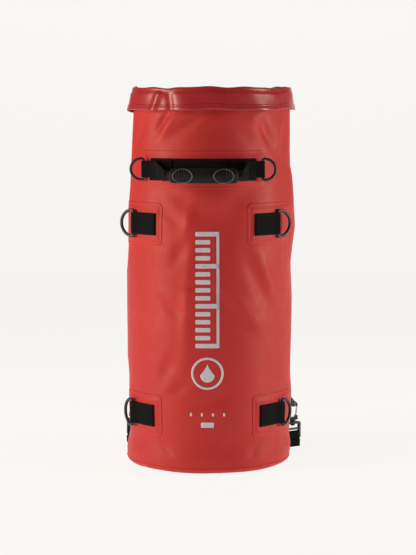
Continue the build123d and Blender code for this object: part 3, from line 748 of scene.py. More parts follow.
def make_cuff():
    angle = np.linspace(0, 2 * math.pi, CUFF_COLUMNS, endpoint=False)
    path = cuff_centre(angle)
    vertices, faces = shell_of(path, angle, FABRIC)
    make_piece("collar", [(vertices, faces, RED_INSIDE)], replaces=["collar_cuff"])
    hem_path = []
    for share, lift in HEM_PROFILE:
        position = share * (CUFF_ROWS - 1)
        index = len(path) - CUFF_ROWS + int(position)
        part = position - int(position)
        after = min(index + 1, len(path) - 1)
        radius = path[index][0] * (1 - part) + path[after][0] * part
        height = path[index][1] * (1 - part) + path[after][1] * part
        hem_path.append((radius + FABRIC / 2 + lift - 0.0001, height - 0.0002))
    vertices, faces = shell_of(hem_path, angle, HEM_TAPE)
    make_piece("collar_hem", [(vertices, faces, RED_INSIDE)])
    for name, middle in (("front_mouth_stiffener", 0.0), ("rear_mouth_stiffener", math.pi)):
        arc = middle + np.linspace(-STIFFENER_HALF_ARC, STIFFENER_HALF_ARC, 160)
        rings = cuff_centre(arc)
        strip = []
        for row in (-2, -4, -6):
            radius, height = rings[row]
            strip.append((radius - FABRIC / 2 - 0.0006, height + 0.0005))
        vertices, _ = shell_of(strip, arc, 0.0008)
        rows, columns = 2 * len(strip), len(arc)
        faces = grid_faces(rows, columns, closed_rows=True)
        faces.append(tuple(k * columns for k in reversed(range(rows))))
        faces.append(tuple(k * columns + columns - 1 for k in range(rows)))
        make_piece(name + "_strip", [(vertices, faces, STIFFENER)], replaces=[name])


# ---- welded patches ------------------------------------------------------------------
PATCH_LIFT = 0.0008
EMBOSSED = [(0.0, -0.0004), (0.0, 0.0004), (0.0005, PATCH_LIFT), (0.0032, PATCH_LIFT), (0.0038, 0.0006),
            (0.0044, 0.0006), (0.0050, PATCH_LIFT), (0.0098, PATCH_LIFT), (0.0106, 0.0012),
            (0.0120, 0.0012), (0.0128, PATCH_LIFT), (0.0150, PATCH_LIFT)]
PLAIN = [(0.0, -0.0004), (0.0, 0.0002), (0.0005, 0.0006), (0.0030, 0.0006), (0.0036, 0.0004),
         (0.0042, 0.0006)]


PATCH_MIDDLES = (("upper", 52.8), ("lower", 55.3))       # degrees to each side of the rings' middle
LASH_PATCH_WIDTH = 0.117


def level_patch(node, angle, width, name=None, material=None, corner=0.010,
                profile=EMBOSSED):
    """A patch in place of a CAD node, at the node's own height."""
    low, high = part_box(node)
    shape = panel(angle, (low.z + high.z) / 2, width, high.z - low.z, corner, profile, 260)
    make_piece(name or node + "_cloth", [(*shape, material or RED_PATCH)], replaces=[node])


HANDLE_PATCH_HALF_ARC = 50    # degrees
HARNESS_PATCH_WIDTH = 0.128
SEAM_TAPE_WIDTH = 0.026
REAR_PATCH_WIDTH = 0.078


def make_patches():
    for row, middle in PATCH_MIDDLES:
        turn = middle_angle(f"{row}_lash_ring")
        for word, side in SIDES:
            level_patch(f"{row}_lash_patch_{word}", side * math.radians(middle) + turn, LASH_PATCH_WIDTH)
    level_patch("handle_patch", HANDLE_ANGLE, 2 * WALL_MEAN * math.radians(HANDLE_PATCH_HALF_ARC))
    level_patch("harness_patch", math.pi, HARNESS_PATCH_WIDTH)
    level_patch("back_seam_tape", math.pi, SEAM_TAPE_WIDTH, "back_seam_strip", RED, 0.004,
                PLAIN)
    for word, _ in SIDES:
        angle = bag_angle(JOINT_PLACES[f"rear_ring_{word}_swing"])
        level_patch(f"rear_patch_{word}", angle, REAR_PATCH_WIDTH)


# ---- webbing tabs ----------------------------------------------------------------------
LAYER = 0.0013
UPPER_LAYER = 1.5 * LAYER + 0.00015
STITCH_LIFT = 2 * LAYER + 0.0003
BAR_CLEARANCE = 0.0003
LOOP_STARTS = 0.0075          # where the webbing leaves the wall for its bar, short of the bar
LOOP_ENDS = 0.0125            # and where it comes back to the wall
STITCH_MARGIN = 0.003
WIRE = 0.0028
SMALL_WIRE = 0.0024
TAB_WIDTH = 0.039
ON_PATCH = PATCH_LIFT + 0.0002
UP = np.array([0.0, 0.0, 1.0])


def polar(angle, radius, z):
    return np.array([radius * math.sin(angle), -radius * math.cos(angle), z])


def tab_route(bar, inner_angle, wire, under, side):
    """Mid-line of webbing folded round an upright bar: under layer, loop, upper layer."""
    bar_angle = abs(bag_angle(bar))
    z = bar[2]
    loop = wire + BAR_CLEARANCE + LAYER / 2
    outward = polar(bar_angle, 1, 0)
    round_way = polar(bar_angle + math.pi / 2, 1, 0)
    centre = polar(bar_angle, math.hypot(bar[0], bar[1]), z)

    def layer(first, last, lift):
        return [polar(angle, float(wall_radius(side * angle, z)) + under + lift, z)
                for angle in np.linspace(first, last, 14)]

    near = layer(inner_angle, bar_angle - LOOP_STARTS / WALL_MEAN, LAYER / 2)
    turns = np.radians(np.linspace(-100, 118, 16))
    fold = [centre + loop * (round_way * math.cos(a) + outward * math.sin(a)) for a in turns]
    back = layer(bar_angle - LOOP_ENDS / WALL_MEAN, inner_angle, UPPER_LAYER)
    hold = [1.0] * len(near) + [0.0] * len(fold) + [1.0] * len(back)
    return np.array(near + fold + back) * (side, 1, 1), np.array(hold)


def make_tab(name, node, bar, inner_angle, wire, width, under, side):
    """One folded webbing tab with its stitching, in place of the CAD node."""
    route, hold = tab_route(bar, inner_angle, wire, under, side)
    angles = [bag_angle(point) for point in route]
    middle = bar[2]

    def follow(i, w):
        here = float(wall_radius(angles[i], middle + w)) - float(wall_radius(angles[i], middle))
        return hold[i] * polar(angles[i], here, 0)

    first = inner_angle + STITCH_MARGIN / WALL_MEAN
    last = abs(bag_angle(bar)) - (LOOP_ENDS + 0.001) / WALL_MEAN
    half = width / 2 - STITCH_MARGIN
    sewing = [stitched_on_wall(side * line[:, 0], middle + line[:, 1], under + STITCH_LIFT)
              for line in box_and_cross((first, -half), (last, half))]
    strap_piece(name, strap_solid(route, UP, width, LAYER, follow), sewing, [node])


LASH_REACHES = (("upper", 20.3), ("lower", 21.5))       # degrees that each tab runs in from its ring's bar
KEEPER_REACH = 13
KEEPER_WIDTH = 0.029


def make_lash_tabs():
    for row, reach in LASH_REACHES:
        for word, side in SIDES:
            bar = JOINT_PLACES[f"{row}_lash_ring_{word}_swing"]
            end = abs(bag_angle(bar)) - math.radians(reach)
            make_tab(f"{row}_lash_tab_{word}", f"{row}_lash_webbing_{word}", bar, end, WIRE,
                     TAB_WIDTH, ON_PATCH, side)


def make_base_strip():
    """The long webbing behind the handle, sewn to its patch, and the small rings' keepers."""
    lift = ON_PATCH + LAYER / 2
    angles = np.radians(np.linspace(-40, 40, 121)) + HANDLE_ANGLE
    centre = on_wall(angles, np.full_like(angles, HANDLE_Z), lift)

    def follow(i, w):
        return on_wall(angles[i], HANDLE_Z + w, lift) - on_wall(angles[i], HANDLE_Z, lift) - UP * w

    sewn = np.radians(np.linspace(-39, 39, 200)) + HANDLE_ANGLE
    edge = TAB_WIDTH / 2 - 0.0025
    sewing = [stitched_on_wall(sewn, HANDLE_Z + height, lift + LAYER / 2 + 0.0001)
              for height in (edge, -edge)]
    strap = strap_solid(centre, UP, TAB_WIDTH, LAYER, follow)
    strap_piece("handle_base_strip", strap, sewing, ["handle_base_webbing"])
    for word, side in SIDES:
        bar = JOINT_PLACES[f"handle_ring_{word}_swing"]
        end = abs(bag_angle(bar)) - math.radians(KEEPER_REACH)
        make_tab(f"small_ring_keeper_{word}", f"handle_ring_keeper_{word}", bar, end, SMALL_WIRE,
                 KEEPER_WIDTH, PATCH_LIFT + LAYER + 0.0004, side)


# ---- carry handle ------------------------------------------------------------------
GRIP_DROOP = 0.009            # the grip hangs this far below the handle's sewn ends
GRIP_CENTRE = np.array([0.0070, -0.178, HANDLE_Z - GRIP_DROOP])
GRIP_BEND = 0.330
GRIP_HALF_LENGTH = 0.0690
GRIP_HALF_HEIGHT = 0.0128
GRIP_HALF_DEPTH = 0.0112
GRIP_RING_OFFSET = 0.0345
GRIP_RING_HALF = (0.0165, 0.0112)
GRIP_RIBS = (40.5, 44.8, 49.1, 53.4)      # mm from the middle of the grip
# distance from the middle of the grip, and its size there as a share of the full section
GRIP_PROFILE = [(0, 1.0), (30, 0.995), (50, 0.97), (56.5, 0.93), (57.4, 0.85), (58.2, 0.66), (61, 0.60),
                (66, 0.62), (67.2, 0.72), (69, 0.70)]


def turned(points, angle):
    """Points turned about the bag's axis."""
    points = np.asarray(points, float)
    x = points[..., 0] * math.cos(angle) - points[..., 1] * math.sin(angle)
    y = points[..., 0] * math.sin(angle) + points[..., 1] * math.cos(angle)
    return np.stack([x, y, points[..., 2]], axis=-1)


def grip_point(along, height, depth):
    """A point of the bent grip: along it, up, and out from its middle line."""
    turn = along / GRIP_BEND
    radius = GRIP_BEND + depth
    x = GRIP_CENTRE[0] + radius * np.sin(turn)
    y = GRIP_CENTRE[1] + GRIP_BEND - radius * np.cos(turn)
    return np.stack([x, y, GRIP_CENTRE[2] + height], axis=-1)


def make_grip():
    """Moulded rubber over the webbing, with ribs, necks and two raised ovals."""
    rows = np.linspace(-GRIP_HALF_LENGTH, GRIP_HALF_LENGTH, 420)[:, None]
    turns = np.linspace(0, 2 * math.pi, 160, endpoint=False)[None, :]
    size = np.interp(np.abs(rows) / MM, [d for d, _ in GRIP_PROFILE], [v for _, v in GRIP_PROFILE])
    height = np.sin(turns) * GRIP_HALF_HEIGHT * size
    depth = np.cos(turns) * GRIP_HALF_DEPTH * size
    half_x, half_z = GRIP_RING_HALF
    raised = np.zeros_like(height)
    for side in (-1, 1):
        reach = np.hypot((rows - side * GRIP_RING_OFFSET) / half_x, height / half_z)
        raised = np.maximum(raised, hump((reach - 1) * half_z, 0.0009) * smooth_step(depth, 0.0, 0.004))
    ribs = sum(hump(np.abs(rows) - place * MM, 0.0011) for place in GRIP_RIBS)
    seam = 0.0003 * hump(height, 0.0005)
    inside = np.hypot((np.abs(rows) - GRIP_RING_OFFSET) / half_x, height / half_z) < 0.88
    dimples = 0.0003 * np.sin(rows * 2 * math.pi / 0.0036) * np.sin(height * 2 * math.pi / 0.0036)
    lift = 0.0013 * raised + 0.0008 * ribs + seam + dimples * inside * (np.abs(rows) < 0.038)
    lift = lift * smooth_step(GRIP_HALF_LENGTH - np.abs(rows), 0.0, 0.002)
    vertices = grip_point(rows + 0 * height, height + np.sin(turns) * lift, depth + np.cos(turns) * lift)
    vertices = turned(vertices, HANDLE_ANGLE)
    faces = [tuple(reversed(face)) for face in capped_grid(len(rows), turns.shape[1])]
    # the raised ovals' mask, which carries their painted highlight colour
    painted_highlight = np.stack([raised, 0 * raised, 0 * raised], axis=-1).reshape(-1, 3)
    make_piece("rubber_grip", [(vertices, faces, RUBBER)], "handle",
               replaces=["handle_grip"], strap=painted_highlight)


# right-hand arm, from the sewn end to inside the grip: x, y and how far below the handle's middle
ARM_ROUTE = [(0.0795, -0.1295, 0.0005), (0.0805, -0.1355, 0.001), (0.0775, -0.1455, 0.003),
             (0.0735, -0.1560, 0.0055), (0.0690, -0.1660, 0.0080), (0.0600, -0.1725, 0.0090)]
# share of the way along an arm, and its width there
ARM_WIDTHS = ([0, 0.25, 0.55, 0.85, 1], [0.033, 0.033, 0.029, 0.0215, 0.013])
ARM_THICKNESS = 0.0016
ARM_TACKS = (-22.0, -24.0, -27.5, 22.0, 24.0, 27.5)     # degrees from the handle's middle


def make_arms():
    """Webbing from where the handle is sewn down, round and into each end of the grip."""
    parts, values = [], []
    for side in (-1, 1):
        sewn = [on_wall(side * math.radians(a) + HANDLE_ANGLE, HANDLE_Z, 0.0033) for a in (21, 25.5, 29.5)]
        free = [(side * x + GRIP_CENTRE[0] * drop / GRIP_DROOP, y, HANDLE_Z - drop)
                for x, y, drop in ARM_ROUTE]
        centre = catmull(sewn + list(turned(free, HANDLE_ANGLE)), 10)
        width = np.interp(np.linspace(0, 1, len(centre)), *ARM_WIDTHS)
        vertices, faces, value = strap_solid(centre, UP, width, ARM_THICKNESS)
        parts.append((vertices, faces, WEBBING))
        values.append(value)
    # the bar tacks that hold each end down
    z = np.linspace(HANDLE_Z - 0.0145, HANDLE_Z + 0.0145, 60)
    for degrees in ARM_TACKS:
        parts.append(stitched_on_wall(np.full_like(z, math.radians(degrees) + HANDLE_ANGLE), z, 0.0045))
    arms = make_piece("handle_arms", parts, "", replaces=["handle_webbing"],
                      strap=np.concatenate(values))
    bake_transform(arms)


# ---- rear rings' tabs, straps and pads -------------------------------------------------
REAR_TAB_TOP = 0.150


def fold_under(angle, bar, radius, first, last):
    """Webbing's way from beside the wall, under a level bar and up its outer side."""
    loop = radius + BAR_CLEARANCE + LAYER / 2
    centre = polar(angle, math.hypot(bar[0], bar[1]), bar[2])
    outward = polar(angle, 1, 0)
    turns = np.radians(np.linspace(first, last, 16))
    return [centre - outward * loop * math.cos(a) - UP * loop * math.sin(a) for a in turns]


def level_tab_route(angle, bar):
    """Mid-line of webbing that hangs down the wall, folds round a level bar and goes back up."""
    def layer(first, last, lift):
        return [polar(angle, float(wall_radius(angle, z)) + ON_PATCH + lift, z)
                for z in np.linspace(first, last, 12)]

    down = layer(REAR_TAB_TOP, bar[2] + LOOP_STARTS, LAYER / 2)
    fold = fold_under(angle, bar, WIRE, -10, 208)
    back = layer(bar[2] + LOOP_ENDS, REAR_TAB_TOP, UPPER_LAYER)
    return np.array(down + fold + back), [1.0] * len(down) + [0.0] * len(fold) + [1.0] * len(back)


def make_rear_tabs():
    for word, _ in SIDES:
        bar = JOINT_PLACES[f"rear_ring_{word}_swing"]
        angle = bag_angle(bar)
        route, hold = level_tab_route(angle, bar)
        across = polar(angle + math.pi / 2, 1, 0)

        def follow(i, w):
            radius = math.hypot(route[i][0], route[i][1])
            there = angle + w / radius
            bent = polar(there, radius, 0) - polar(angle, radius, 0) - across * w
            dent = float(wall_radius(there, route[i][2])) - float(wall_radius(angle, route[i][2]))
            return hold[i] * (bent + polar(angle, dent, 0))

        half = (TAB_WIDTH / 2 - STITCH_MARGIN) / WALL_MEAN
        lines = box_and_cross((-half, bar[2] + LOOP_ENDS + 0.001), (half, REAR_TAB_TOP - STITCH_MARGIN))
        sewing = [stitched_on_wall(angle + line[:, 0], line[:, 1], ON_PATCH + STITCH_LIFT) for line in lines]
        strap = strap_solid(route, across, TAB_WIDTH, LAYER, follow)
        strap_piece(f"rear_tab_{word}", strap, sewing, [f"rear_ring_webbing_{word}"])


PAD_WIDTH = 0.060
PAD_WEBBING_WIDTH = 0.020
PAD_EDGE = 0.0016             # half the pad's thickness at its rim
PAD_ROUND = 0.022             # how far from its ends the pad begins to narrow
CHANNEL = 0.0215              # from the pad's middle line to its two rows of quilting
PAD_THICKNESS = 0.009
PAD_SLANT = math.radians(6.1)
PAD_TOP = np.array([0.038, 0.148, 0.592])
PAD_BOW = [(0.0, 0.0), (0.044, -0.217), (0.022, -0.447)]


def arc_through(points, count):
    """Points along the circle through three points of a plane, from the first to the last."""
    a, b, c = (complex(*point) for point in points)
    w = (c - a) / (b - a)
    centre = a + (b - a) * (w - abs(w) ** 2) / (2j * w.imag)
    turns = np.linspace(np.angle(a - centre), np.angle(c - centre), count)
    arc = centre + abs(a - centre) * np.exp(1j * turns)
    return np.stack([arc.real, arc.imag], axis=-1)


def pad_frame(side):
    """Middle line of a shoulder pad, with its across and outward directions."""
    flat = arc_through(PAD_BOW, 150)
    slant_x, slant_z = math.sin(PAD_SLANT), math.cos(PAD_SLANT)
    centre = np.stack([PAD_TOP[0] - flat[:, 1] * slant_x, PAD_TOP[1] + flat[:, 0],
                       PAD_TOP[2] + flat[:, 1] * slant_z], axis=-1)
    across = np.array([slant_z, 0.0, slant_x])
    centre[:, 0] *= side
    across[0] *= side
    outward = np.cross(unit(np.gradient(centre, axis=0)), across) * side
    if outward[0][1] < 0:
        outward = -outward
    return centre, across, outward


def make_pads():
    for word, side in SIDES:
        centre, across, outward = pad_frame(side)
        run = run_along(centre)
        end_distance = np.minimum(run, run[-1] - run)
        short = np.maximum(0, PAD_ROUND - end_distance)
        half_width = PAD_WIDTH / 2 - 0.6 * (PAD_ROUND - np.sqrt(PAD_ROUND ** 2 - short ** 2))
        columns = np.linspace(-1, 1, 45)
        front, back = [], []
        for i in range(len(centre)):
            w = columns * half_width[i]
            rim = np.minimum(half_width[i] - np.abs(w), end_distance[i])
            fullness = smooth_step(rim, 0.0, 0.012)
            wave = 0.0003 * np.sin(run[i] / 0.031 * 2 * math.pi) * fullness
            quilt = 0.0011 * hump(np.abs(w) - CHANNEL, 0.0011) + wave
            t = PAD_EDGE + (PAD_THICKNESS / 2 - PAD_EDGE) * fullness - quilt
            front.append(centre[i] + across * w[:, None] + outward[i] * t[:, None])
            back.append(centre[i] + across * w[:, None] - outward[i] * t[:, None])
        shell = [np.concatenate([f, b[::-1]]) for f, b in zip(front, back)]
        parts = [(np.concatenate(shell), capped_grid(len(shell), len(shell[0])), PADDING)]
        # piping round the edge
        edge = [centre[i] + across * half_width[i] for i in range(len(centre))]
        edge += [centre[-1] + across * w for w in np.linspace(1, -1, 20)[1:-1] * half_width[-1]]
        edge += [centre[i] - across * half_width[i] for i in reversed(range(len(centre)))]
        edge += [centre[0] + across * w for w in np.linspace(-1, 1, 20)[1:-1] * half_width[0]]
        parts.append((*tube_round(edge, 0.0021, 10), BINDING))
        chosen = slice(6, -6)
        for w in (-CHANNEL, CHANNEL):
            line = (centre + across * w + outward * (PAD_THICKNESS / 2 - 0.0009))[chosen]
            parts.append(stitched(line, outward[chosen], 0.0034, 0.0023))
        pad = make_piece(f"shoulder_cushion_{word}", parts, replaces=[f"shoulder_pad_{word}"])
        # a flat webbing down the pad, tacked at intervals
        chosen = slice(4, -4)
        line = (centre + outward * (PAD_THICKNESS / 2 + 0.0009))[chosen]
        tacks = []
        for index in range(6, len(line), 16):
            up = outward[index + 4]
            tack = [line[index] + across * w + up * 0.0008 for w in np.linspace(-0.0085, 0.0085, 12)]
            tacks.append(stitched(tack, up, 0.0016, 0.0014, 0.0005))
        strap_piece(f"pad_webbing_{word}", strap_solid(line, across, PAD_WEBBING_WIDTH, LAYER), tacks)


def tube_round(points, radius, sides):
    """A closed round tube along a loop of points."""
    p = np.asarray(points, float)
    tangent = unit(np.roll(p, -1, axis=0) - np.roll(p, 1, axis=0))
    normal = unit(np.cross(tangent, [0.02, 1.0, 0.03]))
    other = np.cross(tangent, normal)
    turns = np.linspace(0, 2 * math.pi, sides, endpoint=False)
    rings = [p + radius * (normal * math.cos(t) + other * math.sin(t)) for t in turns]
    vertices = np.stack(rings, axis=1).reshape(-1, 3)
    return vertices, grid_faces(len(p), sides, closed_rows=True, closed_columns=True)


ANCHOR_RADIUS = 0.1425
ANCHOR_WIDTH = 0.038
ANCHOR_HEIGHTS = (0.631, 0.600)


def make_top_webbing():
    for word, side in SIDES:
        def wall_at(x, z):
            return on_wall(math.pi - math.asin(x / ANCHOR_RADIUS), z, ON_PATCH + LAYER / 2)

        x = side * PAD_TOP[0]
        route = [wall_at(x, z) for z in np.linspace(*ANCHOR_HEIGHTS, 26)]
        hold = [1.0] * len(route)
        last = route[-1]
        goal = np.array([side * (PAD_TOP[0] + 0.001), PAD_TOP[1] + 0.0005, PAD_TOP[2] - 0.008])
        for share in np.linspace(0.15, 1, 8):
            route.append(last + (goal - last) * np.array([share, smooth_step(share, -0.2, 1), share]))
            hold.append(1 - share)
        route = np.array(route)

        def follow(i, w):
            return hold[i] * (wall_at(x + w, route[i][2]) - wall_at(x, route[i][2]) - np.array([w, 0, 0]))

        sewing = []
        half = ANCHOR_WIDTH / 2 - STITCH_MARGIN
        for line in box_and_cross((-half, ANCHOR_HEIGHTS[1] + 0.004), (half, ANCHOR_HEIGHTS[0] - 0.003), 20):
            points = np.array([wall_at(x + w, z) for w, z in line]) + (0, LAYER / 2 + 0.0001, 0)
            sewing.append(stitched(points, (0, 1, 0)))
        strap = strap_solid(route, (1, 0, 0), ANCHOR_WIDTH, LAYER, follow)
        strap_piece(f"pad_anchor_{word}", strap, sewing, [f"pad_top_webbing_{word}"])


STRAP_WIDTH = 0.025
STRAP_LAYER = 0.0014
# rearward and upward from the adjuster's knuckle: the tail, over the bar, then the slack run
TAIL_ROUTE = [(-5.0, -51.5), (-4.8, -40), (-4.5, -29), (-3.9, -24.8), (-1.6, -23.2), (1.6, -23.2),
              (3.9, -24.8), (4.5, -30), (4.6, -40)]
BARS_TURN = 11.1              # degrees that the adjuster's bars point rearwards of straight out
SLACK_ROUTE = [(8, -48.5), (16, -51.5), (34, -49.8), (54, -39), (74, -21), (92, 4), (104, 32), (112, 58)]
SLACK_REACH = 125             # the length, along the slack run, that would reach the pad's foot
HEM_ROUTE = [(-6.6, -37.5), (-6.5, -44), (-6.2, -50.8)]      # the tail's folded end


def make_slack_straps():
    for word, side in SIDES:
        knuckle = np.array(JOINT_PLACES[f"snap_hook_{word}_swivel"])
        bars = bag_angle(knuckle) + side * math.radians(BARS_TURN)
        across = polar(bars, 1, 0)
        rearward = polar(bars + side * math.pi / 2, 1, 0)
        pad, pad_across, outward = pad_frame(side)
        to_foot = (pad[-1] - knuckle) * (1, 1, 0)
        route = [knuckle + rearward * h * MM + UP * v * MM for h, v in TAIL_ROUTE]
        for h, v in SLACK_ROUTE:
            turned_away = smooth_step(h, 8, 60)
            level = rearward * h * MM * (1 - turned_away) + to_foot * h / SLACK_REACH * turned_away
            route.append(knuckle + level + UP * v * MM)
        foot = len(route)
        for index in (-2, -8, -14):
            route.append(pad[index] + outward[index] * (PAD_THICKNESS / 2 + 0.0027))
        centre = catmull(route, 9)
        place = np.arange(len(centre)) / 9
        turn = smooth_step(place, foot - 7, foot - 0.5)[:, None]
        width_way = across * (1 - turn) + pad_across * turn
        tangent = unit(np.gradient(centre, axis=0))
        width_way = unit(width_way - tangent * np.sum(width_way * tangent, axis=1)[:, None])
        # the hemmed end of the tail
        hem = [knuckle + rearward * h * MM + UP * v * MM for h, v in HEM_ROUTE]
        vertices, faces, _ = strap_solid(catmull(hem, 5), across, STRAP_WIDTH, STRAP_LAYER)
        line = [hem[1] + across * w - rearward * 0.0008 for w in np.linspace(-0.010, 0.010, 16)]
        parts = [(vertices, faces, WEBBING), stitched(line, -rearward)]
        for w in (-0.009, 0.009):
            line = [pad[k] + outward[k] * (PAD_THICKNESS / 2 + 0.0035) + pad_across * w
                    for k in range(-13, -2)]
            parts.append(stitched(line, outward[-8]))
        strap = strap_solid(centre, width_way, STRAP_WIDTH, STRAP_LAYER)
        nodes = [f"strap_webbing_{word}", f"adjuster_webbing_{word}"]
        strap_piece(f"slack_strap_{word}", strap, parts, nodes)


# ---- closure buckle's tabs ---------------------------------------------------------------
BUCKLE_BAR = 0.0020           # radius of each half's webbing bar
BUCKLE_TAB_TOP = 0.6505
BUCKLE_TAB_FOOT = 0.640       # where the webbing leaves the hem for the bar


def make_buckle_tabs():
    for word, joint in (("right", "buckle_socket_swing"), ("left", "buckle_plug_swing")):
        bar = JOINT_PLACES[joint]
        angle = bag_angle(bar)
        hem = cuff_centre(np.array([angle]))[-8:]
        hem_radius = max(float(radius[0]) for radius, _ in hem) + FABRIC / 2 + 0.0016
        route = [polar(angle, hem_radius + LAYER / 2, z)
                 for z in np.linspace(BUCKLE_TAB_TOP, BUCKLE_TAB_FOOT, 6)]
        route += fold_under(angle, bar, BUCKLE_BAR, -30, 215)
        route += [polar(angle, hem_radius + 1.6 * LAYER, z)
                  for z in np.linspace(BUCKLE_TAB_FOOT - 0.002, BUCKLE_TAB_TOP, 6)]
        across = polar(angle + math.pi / 2, 1, 0)
        sewing = []
        for z in (BUCKLE_TAB_FOOT + 0.0025, BUCKLE_TAB_FOOT + 0.0075):
            middle = polar(angle, hem_radius + 2.2 * LAYER, z)
            line = [middle + across * w for w in np.linspace(-0.010, 0.010, 16)]
            sewing.append(stitched(line, polar(angle, 1, 0)))
        strap = strap_solid(catmull(route, 3), across, STRAP_WIDTH, LAYER)
        strap_piece(f"buckle_tab_{word}", strap, sewing, [f"buckle_webbing_{word}"])


# ---- printed marks: a plain scale, a drop in a ring, four ticks and a small plate --------------
PRINT_ANGLE = math.radians(2.5)
PRINT_LIFT = 0.00042
INK_LAYER = [(0.0, -0.0003), (0.0, PRINT_LIFT)]
SCALE_BARS = 15
SCALE_FOOT = 0.229
SCALE_PITCH = 0.014
LONG_BAR = 0.042
SHORT_BAR = 0.026
BAR_HEIGHT = 0.0078
RAIL_WIDTH = 0.0048
MARK_CORNER = 0.0018
TICK_Z = 0.107
TICK_PITCH = 0.0195
TICK_SIZE = (0.0036, 0.0060)
PLATE_Z = 0.0885
PLATE_SIZE = (0.023, 0.0095)
BADGE_Z = 0.180
BADGE_RADIUS = 0.0285
DROP_RADIUS = 0.0125


def scaled_outline(outline, angle, z, shares):
    """Rings between a flat outline and its smaller copies, laid on the wall."""
    rings = [conform(angle, z, outline, -0.0003)]
    rings += [conform(angle, z, outline * share, PRINT_LIFT) for share in shares]
    return rings


def make_print():
    parts = []

    def bar(shift, z, width, height, corner, count):
        shape = panel(PRINT_ANGLE + shift / WALL_MEAN, z, width, height, corner, INK_LAYER, count)
        parts.append((*shape, INK))

    for k in range(SCALE_BARS):
        width = LONG_BAR if k % 5 == 0 or k == SCALE_BARS - 1 else SHORT_BAR
        bar((width - LONG_BAR) / 2, SCALE_FOOT + k * SCALE_PITCH, width, BAR_HEIGHT, MARK_CORNER, 96)
    span = (SCALE_BARS - 1) * SCALE_PITCH
    bar((LONG_BAR - 0.005) / 2, SCALE_FOOT + span / 2, RAIL_WIDTH, span, MARK_CORNER, 400)
    turns = np.linspace(0, 2 * math.pi, 120, endpoint=False)
    across, up = np.cos(turns), np.sin(turns)
    circle = BADGE_RADIUS * np.stack([across, up], axis=-1)
    rings = scaled_outline(circle, PRINT_ANGLE, BADGE_Z, (1.0, 0.93, 0.86))
    rings.append(conform(PRINT_ANGLE, BADGE_Z, circle * 0.86, -0.0003))
    parts.append((np.concatenate(rings), grid_faces(len(rings), len(turns), closed_columns=True), INK))
    # a drop: round below, drawn up to a point
    drop_x = DROP_RADIUS * across * (1 - 0.93 * smooth_step(up, -0.1, 1.02))
    drop_z = DROP_RADIUS * up + 0.0075 * smooth_step(up, 0.1, 1) - 0.003
    drop = np.stack([drop_x, drop_z], axis=-1)
    shares = np.linspace(1, 0.06, 8)
    parts.append((*filled_rings(scaled_outline(drop, PRINT_ANGLE, BADGE_Z, shares)), INK))
    for k in range(4):
        bar((k - 1.5) * TICK_PITCH, TICK_Z, *TICK_SIZE, 0.0008, 64)
    bar(0, PLATE_Z, *PLATE_SIZE, 0.0022, 96)
    make_piece("printed_marks", parts)


make_tube()
make_base()
make_cuff()
make_patches()
make_lash_tabs()
make_base_strip()
make_grip()
make_arms()
make_rear_tabs()
make_pads()
make_top_webbing()
make_slack_straps()
make_buckle_tabs()
make_print()


def node_finish(node):
    """The material of a CAD node, from its name."""
    if "webbing" in node or "keeper" in node:
        return WEBBING
    for word, finish in (("ring", RING_METAL), ("hook", HOOK_METAL), ("gate", STEEL), ("grip", RUBBER),
                         ("pad", PADDING)):
        if word in node:
            return finish
    return PLASTIC


for node, cad_object in frame["nodes"].items():
    cad_object.data.materials.clear()
    cad_object.data.materials.append(node_finish(node))


# ---- floor, lights and camera ------------------------------------------------------
CAMERA_DISTANCE = 3.30
CAMERA_AZIMUTH = math.radians(2.9)
CAMERA_HEIGHT = 0.666
AIM_HEIGHT = 0.3345
LENS = 117.85
FLOOR_GLOW = (1.04, 1.03, 1.01, 1)
FLOOR_SHADOWED = 0.17
FLOOR_REACH = 3.8
FLOOR_COLOUR = (0.88, 0.875, 0.865, 1)
BACKDROP_TOP = 2.6
WORLD_COLOUR = (0.92, 0.90, 1.12, 1)
WORLD_STRENGTH = 0.09


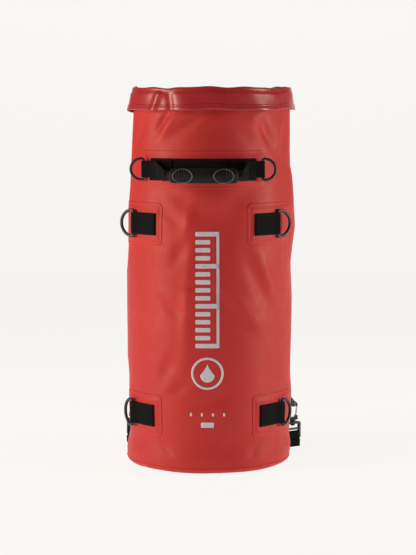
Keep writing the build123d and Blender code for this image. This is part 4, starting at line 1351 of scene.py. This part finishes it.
def make_floor():
    """A pale floor that curves up into a backdrop. It mostly glows evenly, and shows faint shadows."""
    material = bpy.data.materials.new("studio_floor")
    material.use_nodes = True
    tree = material.node_tree
    tree.nodes.remove(tree.nodes["Principled BSDF"])
    matte = tree.nodes.new("ShaderNodeBsdfDiffuse")
    matte.inputs["Color"].default_value = FLOOR_COLOUR
    glow = tree.nodes.new("ShaderNodeEmission")
    glow.inputs["Color"].default_value = FLOOR_GLOW
    mixed = tree.nodes.new("ShaderNodeMixShader")
    mixed.inputs["Fac"].default_value = FLOOR_SHADOWED
    tree.links.new(glow.outputs["Emission"], mixed.inputs[1])
    tree.links.new(matte.outputs["BSDF"], mixed.inputs[2])
    tree.links.new(mixed.outputs["Shader"], tree.nodes["Material Output"].inputs["Surface"])
    profile = [(-FLOOR_REACH, 0.0), (FLOOR_REACH, 0.0)]
    for turn in np.linspace(0, math.pi / 2, 16)[1:]:
        profile.append((FLOOR_REACH + math.sin(turn), 1 - math.cos(turn)))
    profile.append((FLOOR_REACH + 1, BACKDROP_TOP))
    vertices = [(x, y, z) for y, z in profile for x in (-FLOOR_REACH, FLOOR_REACH)]
    faces = [(2 * k, 2 * k + 1, 2 * k + 3, 2 * k + 2) for k in range(len(profile) - 1)]
    floor = make_piece("floor", [(vertices, faces, material)], body="")


def aimed_object(name, data, place, target):
    """A lamp or camera at a place, looking at its target."""
    made = bpy.data.objects.new(name, data)
    made.location = place
    made.rotation_euler = (Vector(target) - Vector(place)).to_track_quat("-Z", "Y").to_euler()
    bpy.context.scene.collection.objects.link(made)
    return made


def area_light(name, place, target, size, power, colour=(1, 1, 1)):
    data = bpy.data.lights.new(name, "AREA")
    data.shape = "RECTANGLE"
    data.size, data.size_y = size
    data.energy = power
    data.color = colour
    aimed_object(name, data, place, target)


def make_studio():
    make_floor()
    area_light("key_left", (-2.15, -0.95, 0.75), (0, 0, 0.34), (0.9, 1.7), 52, (1.0, 0.96, 0.72))
    area_light("rim_right", (2.05, -0.18, 0.45), (0, 0, 0.30), (0.8, 1.5), 34, (1.0, 0.98, 0.80))
    area_light("top", (0.0, 0.6, 2.4), (0, 0.2, 0), (2.0, 1.6), 6)
    world = bpy.data.worlds.new("studio")
    world.use_nodes = True
    background = world.node_tree.nodes["Background"]
    background.inputs["Color"].default_value = WORLD_COLOUR
    background.inputs["Strength"].default_value = WORLD_STRENGTH
    bpy.context.scene.world = world
    bpy.context.scene.view_settings.view_transform = "Standard"
    lens = bpy.data.cameras.new("camera")
    lens.lens = LENS
    place = CAMERA_DISTANCE * Vector((math.sin(CAMERA_AZIMUTH), -math.cos(CAMERA_AZIMUTH), 0))
    place.z = CAMERA_HEIGHT
    bpy.context.scene.camera = aimed_object("camera", lens, place, (0, 0, AIM_HEIGHT))


make_studio()
